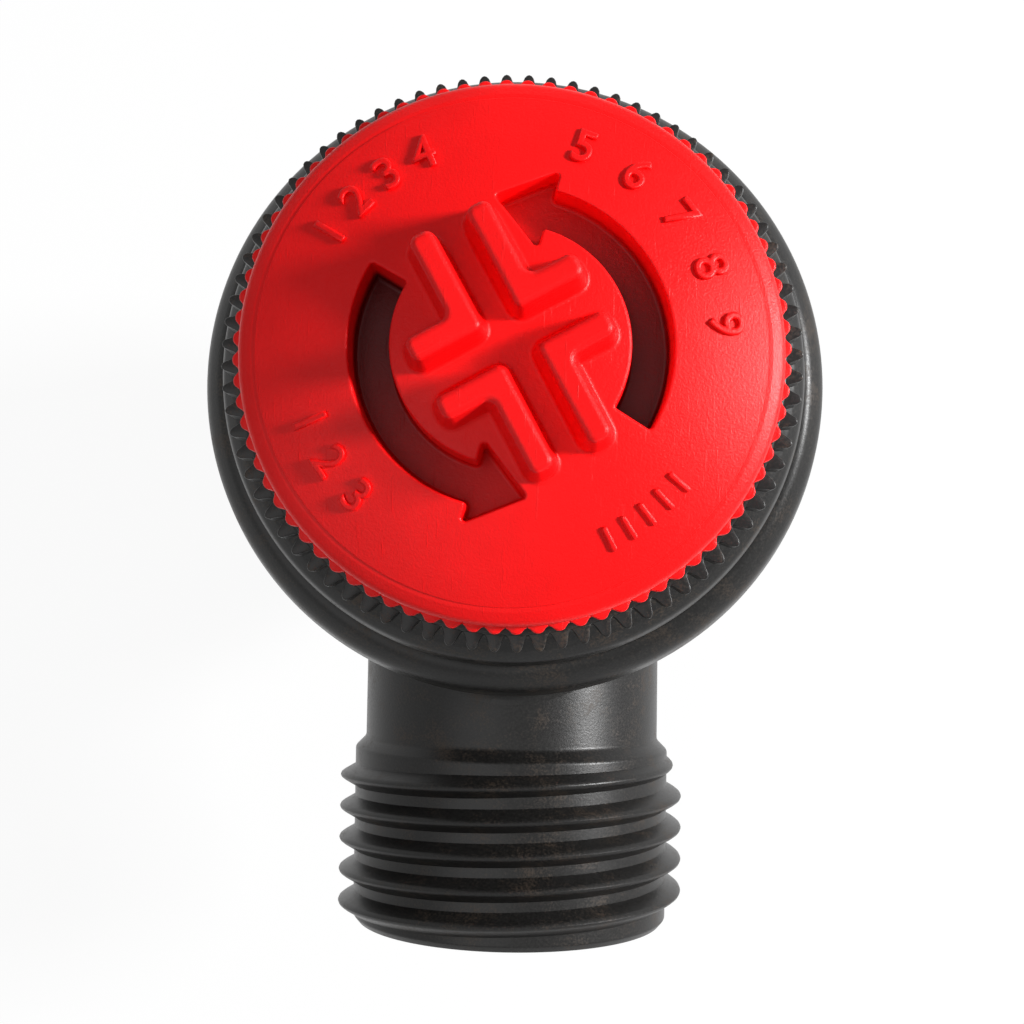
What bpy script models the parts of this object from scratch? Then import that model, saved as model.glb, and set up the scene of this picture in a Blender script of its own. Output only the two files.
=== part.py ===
"""Small moulded diaphragm safety valve with a red turn-to-lift cap.

Metres, +Z up. The origin is the centre of the inlet spigot's end, +Z runs up the valve's axis to
the cap, and the outlet points along -Y. Everything is drawn with the valve closed.
"""

import math

import bpy
from mathutils import Matrix, Vector

MM = 0.001
CLEARANCE = 0.3 * MM  # between pieces that touch on the real valve
COARSE = 48  # facets round the body
INNER = 32  # facets round the bonnet's spring chamber
SMALL = 24  # facets round the inner pieces
SINK = 0.4 * MM  # how far joined shapes reach into each other

# Inlet spigot with two seal grooves and a groove for the holding clip
INLET_BORE_R = 5.0 * MM
SPIGOT_WALL = 2.75 * MM
SPIGOT_R = INLET_BORE_R + SPIGOT_WALL
SPIGOT_CHAMFER = 0.8 * MM
SEAL_GROOVE_Z = (2.8 * MM, 6.8 * MM)
SEAL_GROOVE_WIDTH = 2.0 * MM
SEAL_GROOVE_DEPTH = 1.35 * MM
O_RING_SECTION_R = 0.7 * MM
O_RING_SIDES = 8
CLIP_FLANGE_Z = 11.2 * MM
CLIP_FLANGE_THICKNESS = 2.2 * MM
CLIP_FLANGE_R = SPIGOT_R + 1.85 * MM
CLIP_GROOVE_WIDTH = 2.0 * MM
CLIP_GROOVE_R = SPIGOT_R + 0.85 * MM

# Levels of the body, each from those below it
SHOULDER_Z = CLIP_FLANGE_Z + CLIP_FLANGE_THICKNESS + CLIP_GROOVE_WIDTH
FLOOR_THICKNESS = 2.1 * MM
CHAMBER_FLOOR_Z = SHOULDER_Z + FLOOR_THICKNESS
SEAT_POCKET_DEPTH = 5.6 * MM
SEAT_POCKET_Z = CHAMBER_FLOOR_Z - SEAT_POCKET_DEPTH
SEAT_HEIGHT = 3.1 * MM  # from the chamber's floor to the lip
SEAT_LIP_Z = CHAMBER_FLOOR_Z + SEAT_HEIGHT
OUTLET_HEIGHT = 8.5 * MM  # of the outlet's middle over the chamber's floor
OUTLET_AXIS_Z = CHAMBER_FLOOR_Z + OUTLET_HEIGHT
LEDGE_HEIGHT = 10.5 * MM  # of the diaphragm's ledge over the outlet's middle
DIAPHRAGM_LEDGE_Z = OUTLET_AXIS_Z + LEDGE_HEIGHT
CUP_DEPTH = 3.6 * MM
BODY_TOP_Z = DIAPHRAGM_LEDGE_Z + CUP_DEPTH
RIM_WIDEST_Z = BODY_TOP_Z - 3.7 * MM

# Body across the valve's axis
CHAMBER_R = 10.8 * MM
CHAMBER_WALL = 2.0 * MM
LEDGE_WIDTH = 3.4 * MM
CUP_R = CHAMBER_R + LEDGE_WIDTH  # inside of the rim that takes the bonnet
RIM_WALL = 1.9 * MM
RIM_R = CUP_R + RIM_WALL

# Seat insert
SEAT_WALL = 1.5 * MM
SEAT_POCKET_R = INLET_BORE_R + SEAT_WALL
SEAT_FLANGE_R = SEAT_POCKET_R + 1.1 * MM
SEAT_FLANGE_THICKNESS = 1.0 * MM

# Outlet, measured outwards from the valve's axis
OUTLET_BORE_R = 6.75 * MM
NECK_WALL = 1.85 * MM
NECK_R = OUTLET_BORE_R + NECK_WALL
NECK_LENGTH = 19.2 * MM  # to the shoulder before the thread
THREADED_LENGTH = 10.6 * MM
OUTLET_LENGTH = NECK_LENGTH + THREADED_LENGTH
THREAD_PITCH = 1.814 * MM  # G 1/2
THREAD_ROOT_R = NECK_R + 0.6 * MM
THREAD_CREST_R = THREAD_ROOT_R + 0.95 * MM
THREAD_START = NECK_LENGTH + 0.5 * MM  # middle of the ridge at its first point
THREAD_START_ANGLE = math.radians(185)
THREAD_TURNS = (OUTLET_LENGTH - 0.85 * MM - THREAD_START) / THREAD_PITCH
THREAD_RUN_IN = 0.9  # turns over which the ridge grows from nothing
THREAD_RUN_OUT = 0.25
THREAD_STEPS_PER_TURN = 24
NECK_FACETS = 32

# Cap across its axis. Its teeth and those of the bonnet are as many as the facets of both pieces
TOOTH_COUNT = 80
SKIRT_INNER_R = 11.2 * MM
SKIRT_WALL = 0.9 * MM
SKIRT_R = SKIRT_INNER_R + SKIRT_WALL
TOOTH_VALLEY_R = SKIRT_R + 0.1 * MM
TOOTH_DEPTH = 0.4 * MM
TOOTH_TIP_R = TOOTH_VALLEY_R + TOOTH_DEPTH
FACE_R = SKIRT_R - 0.65 * MM  # where the crowned face meets the rounded edge

# Bonnet. Its collar stands a little outside the cap's teeth
COLLAR_STEP = 0.75 * MM
COLLAR_VALLEY_R = TOOTH_VALLEY_R + COLLAR_STEP
BONNET_WALL_R = COLLAR_VALLEY_R
RIDGE_R = CUP_R + 0.15 * MM
RIDGE_Z = BODY_TOP_Z + 2.0 * MM
CHAMBER_STEP = 0.9 * MM  # from the body's chamber in to the bonnet's
SPRING_CHAMBER_R = CHAMBER_R - CHAMBER_STEP
SPRING_CEILING_HEIGHT = 3.9 * MM  # of the spring chamber's roof over the body
SPRING_CEILING_Z = BODY_TOP_Z + SPRING_CEILING_HEIGHT
ROOF_THICKNESS = 1.2 * MM
RAMP_PLATE_Z = SPRING_CEILING_Z + ROOF_THICKNESS
RAMP_PLATE_DEPTH = 1.2 * MM
COLLAR_TOP_Z = RAMP_PLATE_Z + RAMP_PLATE_DEPTH
COLLAR_HEIGHT = 1.6 * MM
COLLAR_TOOTH_DEPTH = 0.4 * MM
NUT_R = 6.4 * MM
BOSS_WALL = 2.0 * MM

# Lifting ramps, between the bonnet and the cap
RAMP_COUNT = 4
RAMP_WIDTH = 1.4 * MM
RAMP_OUTER_R = SKIRT_INNER_R - 0.5 * MM
RAMP_INNER_R = RAMP_OUTER_R - RAMP_WIDTH
RAMP_LOW_Z = RAMP_PLATE_Z + CLEARANCE
CAP_TURN = math.radians(75)
STEM_LIFT = 1.6 * MM
RISE_PER_RADIAN = STEM_LIFT / CAP_TURN
RAMP_START = math.radians(10)
RAMP_SPAN = math.tau / RAMP_COUNT - math.radians(1)
RAMP_HEADROOM = 0.9 * MM  # between the ramps' tops and the cap
LUG_ANGLE = math.radians(12)
LUG_SIDE_GAP = math.radians(1.5)

# Levels of the cap
SKIRT_BOTTOM_Z = COLLAR_TOP_Z + CLEARANCE
CAP_CEILING_Z = RAMP_LOW_Z + RISE_PER_RADIAN * RAMP_SPAN + RAMP_HEADROOM
CAP_WALL = 0.7 * MM
FACE_EDGE_Z = CAP_CEILING_Z + CAP_WALL
TOOTH_TOP_Z = FACE_EDGE_Z - 1.0 * MM
FACE_CROWN = 2.0 * MM  # height of the face's middle over its edge
CORE_BOTTOM_Z = COLLAR_TOP_Z + 2 * CLEARANCE

# Stem and the cap's hub
STEM_R = 1.5 * MM
STEM_HEAD_OVERHANG = 1.0 * MM
STEM_HEAD_R = STEM_R + STEM_HEAD_OVERHANG
STEM_HEAD_THICKNESS = 0.6 * MM
RETAINING_RING_THICKNESS = 0.6 * MM
HUB_BORE_R = STEM_R + CLEARANCE
HUB_POCKET_GAP = 0.7 * MM
HUB_POCKET_R = STEM_HEAD_R + HUB_POCKET_GAP
HUB_LIP = 0.5 * MM
HUB_POCKET_DEPTH = RETAINING_RING_THICKNESS + STEM_HEAD_THICKNESS + 3 * CLEARANCE
HUB_POCKET_TOP_Z = CORE_BOTTOM_Z + HUB_LIP + HUB_POCKET_DEPTH

# Arrow-shaped recesses in the cap's face
RECESS_INNER_R = 5.3 * MM
RECESS_WIDTH = 1.85 * MM
RECESS_OUTER_R = RECESS_INNER_R + RECESS_WIDTH
RECESS_START = math.radians(149.5)
RECESS_HEAD = math.radians(255)
RECESS_TIP = math.radians(277)
RECESS_HEAD_R = (RECESS_INNER_R - 1.0 * MM, RECESS_OUTER_R + 0.95 * MM)
RECESS_TIP_R = (RECESS_HEAD_R[0] + RECESS_HEAD_R[1]) / 2 + 0.5 * MM
RECESS_FLOOR = 0.8 * MM  # thickness left below the square end
RECESS_DEEP_Z = CORE_BOTTOM_Z + RECESS_FLOOR
RECESS_RISE = 0.4 * MM  # from the square end to the tip
RECESS_SHALLOW_Z = RECESS_DEEP_Z + RECESS_RISE
RECESS_STEPS = 12
CORE_R = RECESS_HEAD_R[1] + 0.1 * MM  # thick middle of the cap, below the recesses

# Grip ribs on the cap
RIB_HEIGHT = 1.6 * MM  # over the middle of the face
RIB_TOP_Z = FACE_EDGE_Z + FACE_CROWN + RIB_HEIGHT
RIB_ANGLE = math.radians(28.8)
RIB_CORNER = (0.8 * MM, 0.83 * MM)
RIB_SHORT_END = 4.1 * MM
RIB_LONG_END = 5.7 * MM
RIB_WIDTH = 1.13 * MM
RIB_DRAFT = 0.22 * MM  # how much wider each side is at the foot
RIB_CORNER_CUT = 0.3 * MM

# Diaphragm and its plates
DIAPHRAGM_THICKNESS = 1.2 * MM
DIAPHRAGM_DROP = 3.4 * MM  # of its middle under the ledge
DIAPHRAGM_CENTRE_Z = DIAPHRAGM_LEDGE_Z - DIAPHRAGM_DROP
SLIP_WASHER_THICKNESS = 0.6 * MM
PLATE_INSET = 1.5 * MM
PLATE_R = SPRING_CHAMBER_R - PLATE_INSET
PLATE_RIM = 0.6 * MM  # width of the plate's raised rim
PLATE_RIM_HEIGHT = 1.2 * MM
PLATE_THICKNESS = 0.8 * MM
UPPER_PLATE_R = SPRING_CHAMBER_R - 1.2 * MM
NUT_WASHER_R = 4.6 * MM
NUT_WASHER_THICKNESS = 0.6 * MM
STEM_NUT_ACROSS_CORNERS = 9.2 * MM
STEM_NUT_HEIGHT = 2.2 * MM

# Disc holder and its seal
SEAL_R = INLET_BORE_R + 2.0 * MM
SEAL_THICKNESS = 2.0 * MM
HOLDER_R = SEAL_R + 1.2 * MM
HOLDER_ROOF = 1.4 * MM
HOLDER_NECK_R = 3.2 * MM
HOLDER_FLANGE_R = PLATE_R - 0.8 * MM
HOLDER_FLANGE_THICKNESS = 1.8 * MM
HOLDER_THREAD_R = 2.6 * MM  # upper end of the disc holder, through the diaphragm
SEAL_WASHER_R = 3.6 * MM
SEAL_WASHER_THICKNESS = 0.6 * MM
SEAL_SCREW_R = 1.2 * MM
SEAL_SCREW_HEAD_R = 2.3 * MM
SEAL_SCREW_HEAD_HEIGHT = 1.1 * MM
SEAL_SCREW_GRIP = 2.2 * MM  # length of the screw in the disc holder

# Spring
SPRING_WIRE_R = 0.7 * MM
SPRING_INSET = 1.4 * MM
SPRING_MEAN_R = PLATE_R - SPRING_INSET
SPRING_TURNS = 3.5
SPRING_END_TURNS = 0.75
SPRING_STEPS_PER_TURN = 16
SPRING_SIDES = 6


def clear_scene():
    for obj in list(bpy.data.objects):
        bpy.data.objects.remove(obj, do_unlink=True)


def material(name, colour, roughness, metallic=0.0):
    """A plain Principled material in a linear colour."""
    mat = bpy.data.materials.new(name)
    mat.use_nodes = True
    shader = mat.node_tree.nodes["Principled BSDF"]
    shader.inputs["Base Color"].default_value = (*colour, 1.0)
    shader.inputs["Roughness"].default_value = roughness
    shader.inputs["Metallic"].default_value = metallic
    return mat


def new_object(name, points, faces, mat=None):
    """An object from points and faces, with its normals made to point out."""
    mesh = bpy.data.meshes.new(name)
    mesh.from_pydata([tuple(point) for point in points], [], faces)
    mesh.validate()
    mesh.update()
    volume = 0.0
    mesh.calc_loop_triangles()
    for triangle in mesh.loop_triangles:
        a, b, c = (mesh.vertices[index].co for index in triangle.vertices)
        volume += a.dot(b.cross(c))
    if volume < 0:
        mesh.flip_normals()
    mesh.shade_smooth()
    mesh.set_sharp_from_angle(angle=math.radians(35))
    if mat:
        mesh.materials.append(mat)
    obj = bpy.data.objects.new(name, mesh)
    bpy.context.scene.collection.objects.link(obj)
    return obj


def polar(radius, angle, z=0.0):
    return Vector((radius * math.cos(angle), radius * math.sin(angle), z))


def lathe(name, profile, facets, mat=None):
    """Turns a closed outline of (radius, z) points round +Z.

    A point with a third value is a ring of V teeth, one to a facet: the radius is that of the valleys
    and the third value that of the tips. A first or last point at radius 0 closes a flat end.
    """
    points = []
    rings = []
    for radius, z, *tip_radius in profile:
        radii = [radius, *tip_radius]
        count = facets * len(radii)
        if radius == 0:
            rings.append(None)
            continue
        rings.append(list(range(len(points), len(points) + count)))
        for step in range(count):
            points.append(polar(radii[step % len(radii)], math.tau * step / count, z))
    faces = []
    for ring, following in zip(rings, rings[1:] + rings[:1]):
        if ring is None and following is None:
            continue
        if ring is None or following is None:
            faces.append(list(reversed(following)) if ring is None else ring)
            continue
        step_here = len(ring) // facets
        step_there = len(following) // facets
        slices = facets if step_here != step_there or step_here == 1 else len(ring)
        here = len(ring) // slices
        there = len(following) // slices
        for index in range(slices):
            face = [ring[(index * here + part) % len(ring)] for part in range(here + 1)]
            back = [following[(index * there + part) % len(following)] for part in range(there + 1)]
            faces.append(face + list(reversed(back)))
    return new_object(name, points, faces, mat)


def loft(name, sections, mat=None, closed=False):
    """Joins outlines of equally many points in order, and caps both ends unless the loft is closed."""
    count = len(sections[0])
    points = [point for section in sections for point in section]
    faces = []
    spans = len(sections) if closed else len(sections) - 1
    for span in range(spans):
        first = span * count
        second = (span + 1) % len(sections) * count
        for step in range(count):
            ahead = (step + 1) % count
            faces.append([first + step, first + ahead, second + ahead, second + step])
    if not closed:
        faces.append(list(reversed(range(count))))
        faces.append([(len(sections) - 1) * count + step for step in range(count)])
    return new_object(name, points, faces, mat)


def boolean(target, other, operation):
    """Joins or cuts with another object, which becomes a hidden helper."""
    modifier = target.modifiers.new(other.name, "BOOLEAN")
    modifier.operation = operation
    modifier.solver = "EXACT"
    modifier.object = other
    other.hide_render = True
    other.display_type = "WIRE"


def join(target, *others):
    for other in others:
        boolean(target, other, "UNION")


def cut(target, *others):
    for other in others:
        boolean(target, other, "DIFFERENCE")


def sector(name, inner_r, outer_r, start, end, low_z, high_z, steps):
    """A block that follows an arc. Its lower and upper levels are functions of the angle."""
    sections = []
    for step in range(steps + 1):
        angle = start + (end - start) * step / steps
        sections.append(
            [
                polar(inner_r, angle, low_z(angle)),
                polar(outer_r, angle, low_z(angle)),
                polar(outer_r, angle, high_z(angle)),
                polar(inner_r, angle, high_z(angle)),
            ]
        )
    return loft(name, sections)


def crown_z(radius):
    """Height of the cap's crowned face at a radius."""
    return FACE_EDGE_Z + FACE_CROWN * (1 - (radius / FACE_R) ** 2)


def outlet_thread():
    """The ridge of the outlet's thread, right-handed, along +Z from the valve's axis."""
    base_r = NECK_R - SINK
    steps = round(THREAD_TURNS * THREAD_STEPS_PER_TURN)
    half_base = 0.44 * THREAD_PITCH
    half_crest = 0.12 * THREAD_PITCH
    sections = []
    for step in range(steps + 1):
        turn = step / THREAD_STEPS_PER_TURN
        grown = min(1.0, turn / THREAD_RUN_IN, (THREAD_TURNS - turn) / THREAD_RUN_OUT)
        crest_r = base_r + 0.05 * MM + (THREAD_CREST_R - base_r) * max(0.0, grown)
        angle = THREAD_START_ANGLE + math.tau * turn
        middle = THREAD_START + THREAD_PITCH * turn
        sections.append(
            [
                polar(base_r, angle, middle - half_base),
                polar(crest_r, angle, middle - half_crest),
                polar(crest_r, angle, middle + half_crest),
                polar(base_r, angle, middle + half_base),
            ]
        )
    return loft("outlet_thread", sections)


def lay_along_outlet(obj):
    """Turns a shape drawn up +Z so that it points along -Y at the outlet's height."""
    obj.data.transform(
        Matrix.Translation((0, 0, OUTLET_AXIS_Z)) @ Matrix.Rotation(math.radians(90), 4, "X")
    )
    return obj


def valve_body(mat):
    wall_r = CHAMBER_R + CHAMBER_WALL
    profile = [(0, 0), (SPIGOT_R - SPIGOT_CHAMFER, 0), (SPIGOT_R, SPIGOT_CHAMFER)]
    for groove_z in SEAL_GROOVE_Z:
        floor_r = SPIGOT_R - SEAL_GROOVE_DEPTH
        profile += [
            (SPIGOT_R, groove_z),
            (floor_r, groove_z),
            (floor_r, groove_z + SEAL_GROOVE_WIDTH),
            (SPIGOT_R, groove_z + SEAL_GROOVE_WIDTH),
        ]
    flange_top = CLIP_FLANGE_Z + CLIP_FLANGE_THICKNESS
    profile += [
        (SPIGOT_R, CLIP_FLANGE_Z),
        (CLIP_FLANGE_R, CLIP_FLANGE_Z),
        (CLIP_FLANGE_R, flange_top),
        (CLIP_GROOVE_R, flange_top),
        (CLIP_GROOVE_R, SHOULDER_Z),
        (wall_r - 1.0 * MM, SHOULDER_Z),
        (wall_r, SHOULDER_Z + 1.0 * MM),
        (wall_r, RIM_WIDEST_Z - 4.6 * MM),
        (wall_r + 0.7 * MM, RIM_WIDEST_Z - 2.9 * MM),
        (RIM_R - 0.8 * MM, RIM_WIDEST_Z - 1.5 * MM),
        (RIM_R, RIM_WIDEST_Z - 0.4 * MM),
        (RIM_R, RIM_WIDEST_Z + 0.9 * MM),
        (RIM_R - 0.25 * MM, BODY_TOP_Z - 1.4 * MM),
        (RIM_R - 0.8 * MM, BODY_TOP_Z - 0.45 * MM),
        (RIM_R - 1.4 * MM, BODY_TOP_Z),
        (0, BODY_TOP_Z),
    ]
    body = lathe("valve_body", profile, COARSE, mat)

    neck = lathe(
        "outlet_neck",
        [
            (0, 0),
            (NECK_R, 0),
            (NECK_R, NECK_LENGTH),
            (THREAD_ROOT_R, NECK_LENGTH + 0.6 * MM),
            (THREAD_ROOT_R, OUTLET_LENGTH - 0.7 * MM),
            (THREAD_ROOT_R - 0.6 * MM, OUTLET_LENGTH),
            (0, OUTLET_LENGTH),
        ],
        NECK_FACETS,
    )
    cavity = lathe(
        "body_cavity",
        [
            (0, -1 * MM),
            (INLET_BORE_R, -1 * MM),
            (INLET_BORE_R, SEAT_POCKET_Z),
            (SEAT_POCKET_R, SEAT_POCKET_Z),
            (SEAT_POCKET_R, CHAMBER_FLOOR_Z),
            (CHAMBER_R, CHAMBER_FLOOR_Z),
            (CHAMBER_R, DIAPHRAGM_LEDGE_Z - 0.4 * MM),
            (CHAMBER_R + 0.4 * MM, DIAPHRAGM_LEDGE_Z),
            (CUP_R, DIAPHRAGM_LEDGE_Z),
            (CUP_R, BODY_TOP_Z + 1 * MM),
            (0, BODY_TOP_Z + 1 * MM),
        ],
        COARSE,
    )
    bore = lathe(
        "outlet_bore",
        [
            (0, 4 * MM),
            (OUTLET_BORE_R, 4 * MM),
            (OUTLET_BORE_R, OUTLET_LENGTH - 0.5 * MM),
            (OUTLET_BORE_R + 1.0 * MM, OUTLET_LENGTH + 0.5 * MM),
            (0, OUTLET_LENGTH + 0.5 * MM),
        ],
        NECK_FACETS,
    )
    thread = outlet_thread()
    for piece in (neck, thread, bore):
        lay_along_outlet(piece)
    join(body, neck, thread)
    cut(body, cavity, bore)


def seat_insert(mat):
    outer_r = SEAT_POCKET_R - CLEARANCE
    flange_low = CHAMBER_FLOOR_Z + CLEARANCE
    lathe(
        "seat_insert",
        [
            (INLET_BORE_R, SEAT_POCKET_Z + CLEARANCE),
            (outer_r, SEAT_POCKET_Z + CLEARANCE),
            (outer_r, flange_low),
            (SEAT_FLANGE_R, flange_low),
            (SEAT_FLANGE_R, flange_low + SEAT_FLANGE_THICKNESS),
            (outer_r, flange_low + SEAT_FLANGE_THICKNESS + 0.2 * MM),
            (INLET_BORE_R + 0.7 * MM, SEAT_LIP_Z),
            (INLET_BORE_R + 0.3 * MM, SEAT_LIP_Z),
            (INLET_BORE_R, SEAT_LIP_Z - 0.3 * MM),
        ],
        SMALL,
        mat,
    )


def inlet_o_rings(mat):
    centre_r = SPIGOT_R - SEAL_GROOVE_DEPTH + CLEARANCE + O_RING_SECTION_R
    for name, groove_z in zip(("inlet_o_ring_lower", "inlet_o_ring_upper"), SEAL_GROOVE_Z):
        middle_z = groove_z + SEAL_GROOVE_WIDTH / 2
        section = [
            (
                centre_r + O_RING_SECTION_R * math.cos(math.tau * step / O_RING_SIDES),
                middle_z + O_RING_SECTION_R * math.sin(math.tau * step / O_RING_SIDES),
            )
            for step in range(O_RING_SIDES)
        ]
        lathe(name, section, SMALL, mat)


def diaphragm_levels():
    """Underside and top of the diaphragm where the body and bonnet clamp it."""
    low = DIAPHRAGM_LEDGE_Z + CLEARANCE
    return low, low + DIAPHRAGM_THICKNESS


def diaphragm(mat):
    low, high = diaphragm_levels()
    inner_r = HOLDER_THREAD_R + CLEARANCE
    outer_r = CUP_R - CLEARANCE
    centre_low = DIAPHRAGM_CENTRE_Z
    centre_high = centre_low + DIAPHRAGM_THICKNESS
    thin = 0.5 * DIAPHRAGM_THICKNESS
    lathe(
        "diaphragm",
        [
            (inner_r, centre_low),
            (PLATE_R - 0.6 * MM, centre_low),
            (PLATE_R + 0.9 * MM, centre_low + 0.4 * MM),
            (CHAMBER_R - CLEARANCE, centre_low + 1.6 * MM),
            (CHAMBER_R - CLEARANCE, low - 0.2 * MM),
            (CHAMBER_R + 0.5 * MM, low),
            (outer_r, low),
            (outer_r, high),
            (CHAMBER_R - 0.2 * MM, high),
            (CHAMBER_R - CLEARANCE - thin, high - 0.5 * MM),
            (CHAMBER_R - CLEARANCE - thin, centre_low + 2.0 * MM),
            (PLATE_R + 0.6 * MM, centre_high - 0.2 * MM),
            (PLATE_R - 0.6 * MM, centre_high),
            (inner_r, centre_high),
        ],
        SMALL,
        mat,
    )


def slip_washer_levels():
    low = diaphragm_levels()[1] + CLEARANCE
    return low, low + SLIP_WASHER_THICKNESS


def slip_washer(mat):
    low, high = slip_washer_levels()
    inner_r = SPRING_CHAMBER_R + 0.4 * MM
    outer_r = CUP_R - CLEARANCE
    lathe(
        "slip_washer",
        [(inner_r, low), (outer_r, low), (outer_r, high), (inner_r, high)],
        SMALL,
        mat,
    )


def ramp_start(index):
    return RAMP_START + index * math.tau / RAMP_COUNT


def ramp_z(index, angle):
    """Level at an angle of the numbered lifting ramp, which climbs counter-clockwise."""
    return RAMP_LOW_Z + RISE_PER_RADIAN * (angle - ramp_start(index))


def bonnet(mat):
    low = slip_washer_levels()[1] + CLEARANCE
    thread_r = CUP_R - CLEARANCE
    collar_low = COLLAR_TOP_Z - COLLAR_HEIGHT
    collar_high = COLLAR_TOP_Z - 0.1 * MM
    collar_r = COLLAR_VALLEY_R - 0.1 * MM
    collar_tip_r = COLLAR_VALLEY_R + COLLAR_TOOTH_DEPTH
    hole_r = NUT_R + CLEARANCE
    boss_r = NUT_R + BOSS_WALL
    body = lathe(
        "bonnet",
        [
            (0, low),
            (thread_r, low),
            (thread_r, RIDGE_Z - 1.2 * MM),
            (RIDGE_R - 0.15 * MM, RIDGE_Z - 0.7 * MM),
            (RIDGE_R, RIDGE_Z),
            (RIDGE_R - 0.2 * MM, RIDGE_Z + 0.7 * MM),
            (RIDGE_R - 0.75 * MM, RIDGE_Z + 1.3 * MM),
            (BONNET_WALL_R, collar_low - 0.7 * MM),
            (collar_r, collar_low),
            (COLLAR_VALLEY_R, collar_low, collar_tip_r),
            (COLLAR_VALLEY_R, collar_high, collar_tip_r),
            (collar_r, collar_high),
            (collar_r - 0.1 * MM, COLLAR_TOP_Z),
            (RAMP_OUTER_R + 0.9 * MM, COLLAR_TOP_Z),
            (RAMP_OUTER_R + 0.7 * MM, RAMP_PLATE_Z),
            (boss_r, RAMP_PLATE_Z),
            (boss_r, COLLAR_TOP_Z),
            (0, COLLAR_TOP_Z),
        ],
        TOOTH_COUNT,
        mat,
    )
    chamber = lathe(
        "spring_chamber",
        [
            (0, low - 1 * MM),
            (SPRING_CHAMBER_R + 1.4 * MM, low - 1 * MM),
            (SPRING_CHAMBER_R, low + 0.4 * MM),
            (SPRING_CHAMBER_R, SPRING_CEILING_Z - 0.8 * MM),
            (SPRING_CHAMBER_R - 0.8 * MM, SPRING_CEILING_Z),
            (hole_r, SPRING_CEILING_Z),
            (hole_r, COLLAR_TOP_Z + 1 * MM),
            (0, COLLAR_TOP_Z + 1 * MM),
        ],
        INNER,
    )
    cut(body, chamber)
    for index in range(RAMP_COUNT):
        ramp = sector(
            f"lifting_ramp_{index + 1}",
            RAMP_INNER_R,
            RAMP_OUTER_R,
            ramp_start(index),
            ramp_start(index) + RAMP_SPAN,
            lambda angle: RAMP_PLATE_Z - SINK,
            lambda angle: ramp_z(index, angle),
            steps=8,
        )
        join(body, ramp)


def adjusting_nut(mat):
    slot_width = 1.6 * MM
    slot_depth = 1.0 * MM
    hole_r = STEM_R + CLEARANCE
    nut = lathe(
        "adjusting_nut",
        [
            (hole_r, SPRING_CEILING_Z),
            (NUT_R, SPRING_CEILING_Z),
            (NUT_R, COLLAR_TOP_Z - 0.3 * MM),
            (NUT_R - 0.3 * MM, COLLAR_TOP_Z),
            (hole_r, COLLAR_TOP_Z),
        ],
        SMALL,
        mat,
    )
    half = NUT_R + 1 * MM
    low = COLLAR_TOP_Z - slot_depth
    sections = []
    for x in (-half, half):
        sections.append(
            [
                Vector((x, -slot_width / 2, low)),
                Vector((x, slot_width / 2, low)),
                Vector((x, slot_width / 2, COLLAR_TOP_Z + 1 * MM)),
                Vector((x, -slot_width / 2, COLLAR_TOP_Z + 1 * MM)),
            ]
        )
    slot = loft("spanner_slot", sections)
    cut(nut, slot)


def upper_plate_levels():
    """Underside and top of the plate that the spring pushes up on."""
    high = SPRING_CEILING_Z - CLEARANCE
    return high - PLATE_THICKNESS, high


def upper_spring_plate(mat):
    low, high = upper_plate_levels()
    hole_r = STEM_R + 2 * CLEARANCE
    lathe(
        "upper_spring_plate",
        [(hole_r, low), (UPPER_PLATE_R, low), (UPPER_PLATE_R, high), (hole_r, high)],
        SMALL,
        mat,
    )


def lower_plate_floor():
    """Top of the diaphragm plate's floor, where the spring stands."""
    return DIAPHRAGM_CENTRE_Z + DIAPHRAGM_THICKNESS + CLEARANCE + PLATE_THICKNESS


def diaphragm_plate(mat):
    floor_high = lower_plate_floor()
    floor_low = floor_high - PLATE_THICKNESS
    hole_r = HOLDER_THREAD_R + CLEARANCE
    rim_high = floor_high + PLATE_RIM_HEIGHT
    lathe(
        "diaphragm_plate",
        [
            (hole_r, floor_low),
            (PLATE_R, floor_low),
            (PLATE_R + PLATE_RIM, floor_low + PLATE_RIM),
            (PLATE_R + PLATE_RIM, rim_high),
            (PLATE_R, rim_high),
            (PLATE_R - 0.1 * MM, floor_high),
            (hole_r, floor_high),
        ],
        SMALL,
        mat,
    )


def spring(mat):
    """Helical wire with closed end turns, between the two plates."""
    low = lower_plate_floor() + CLEARANCE + SPRING_WIRE_R
    high = upper_plate_levels()[0] - CLEARANCE - SPRING_WIRE_R
    closed_rise = SPRING_END_TURNS * 2.1 * SPRING_WIRE_R
    open_turns = SPRING_TURNS - 2 * SPRING_END_TURNS

    def level(turn):
        if turn < SPRING_END_TURNS:
            return low + closed_rise * turn / SPRING_END_TURNS
        if turn > SPRING_TURNS - SPRING_END_TURNS:
            return high - closed_rise * (SPRING_TURNS - turn) / SPRING_END_TURNS
        share = (turn - SPRING_END_TURNS) / open_turns
        return low + closed_rise + (high - low - 2 * closed_rise) * share

    steps = round(SPRING_TURNS * SPRING_STEPS_PER_TURN)
    sections = []
    for step in range(steps + 1):
        turn = step / SPRING_STEPS_PER_TURN
        angle = math.tau * turn
        centre = polar(SPRING_MEAN_R, angle, level(turn))
        outward = polar(SPRING_WIRE_R, angle)
        upward = Vector((0, 0, SPRING_WIRE_R))
        sections.append(
            [
                centre
                + outward * math.cos(math.tau * side / SPRING_SIDES)
                + upward * math.sin(math.tau * side / SPRING_SIDES)
                for side in range(SPRING_SIDES)
            ]
        )
    loft("spring", sections, mat)


def seal_levels():
    low = SEAT_LIP_Z + CLEARANCE
    return low, low + SEAL_THICKNESS


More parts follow.
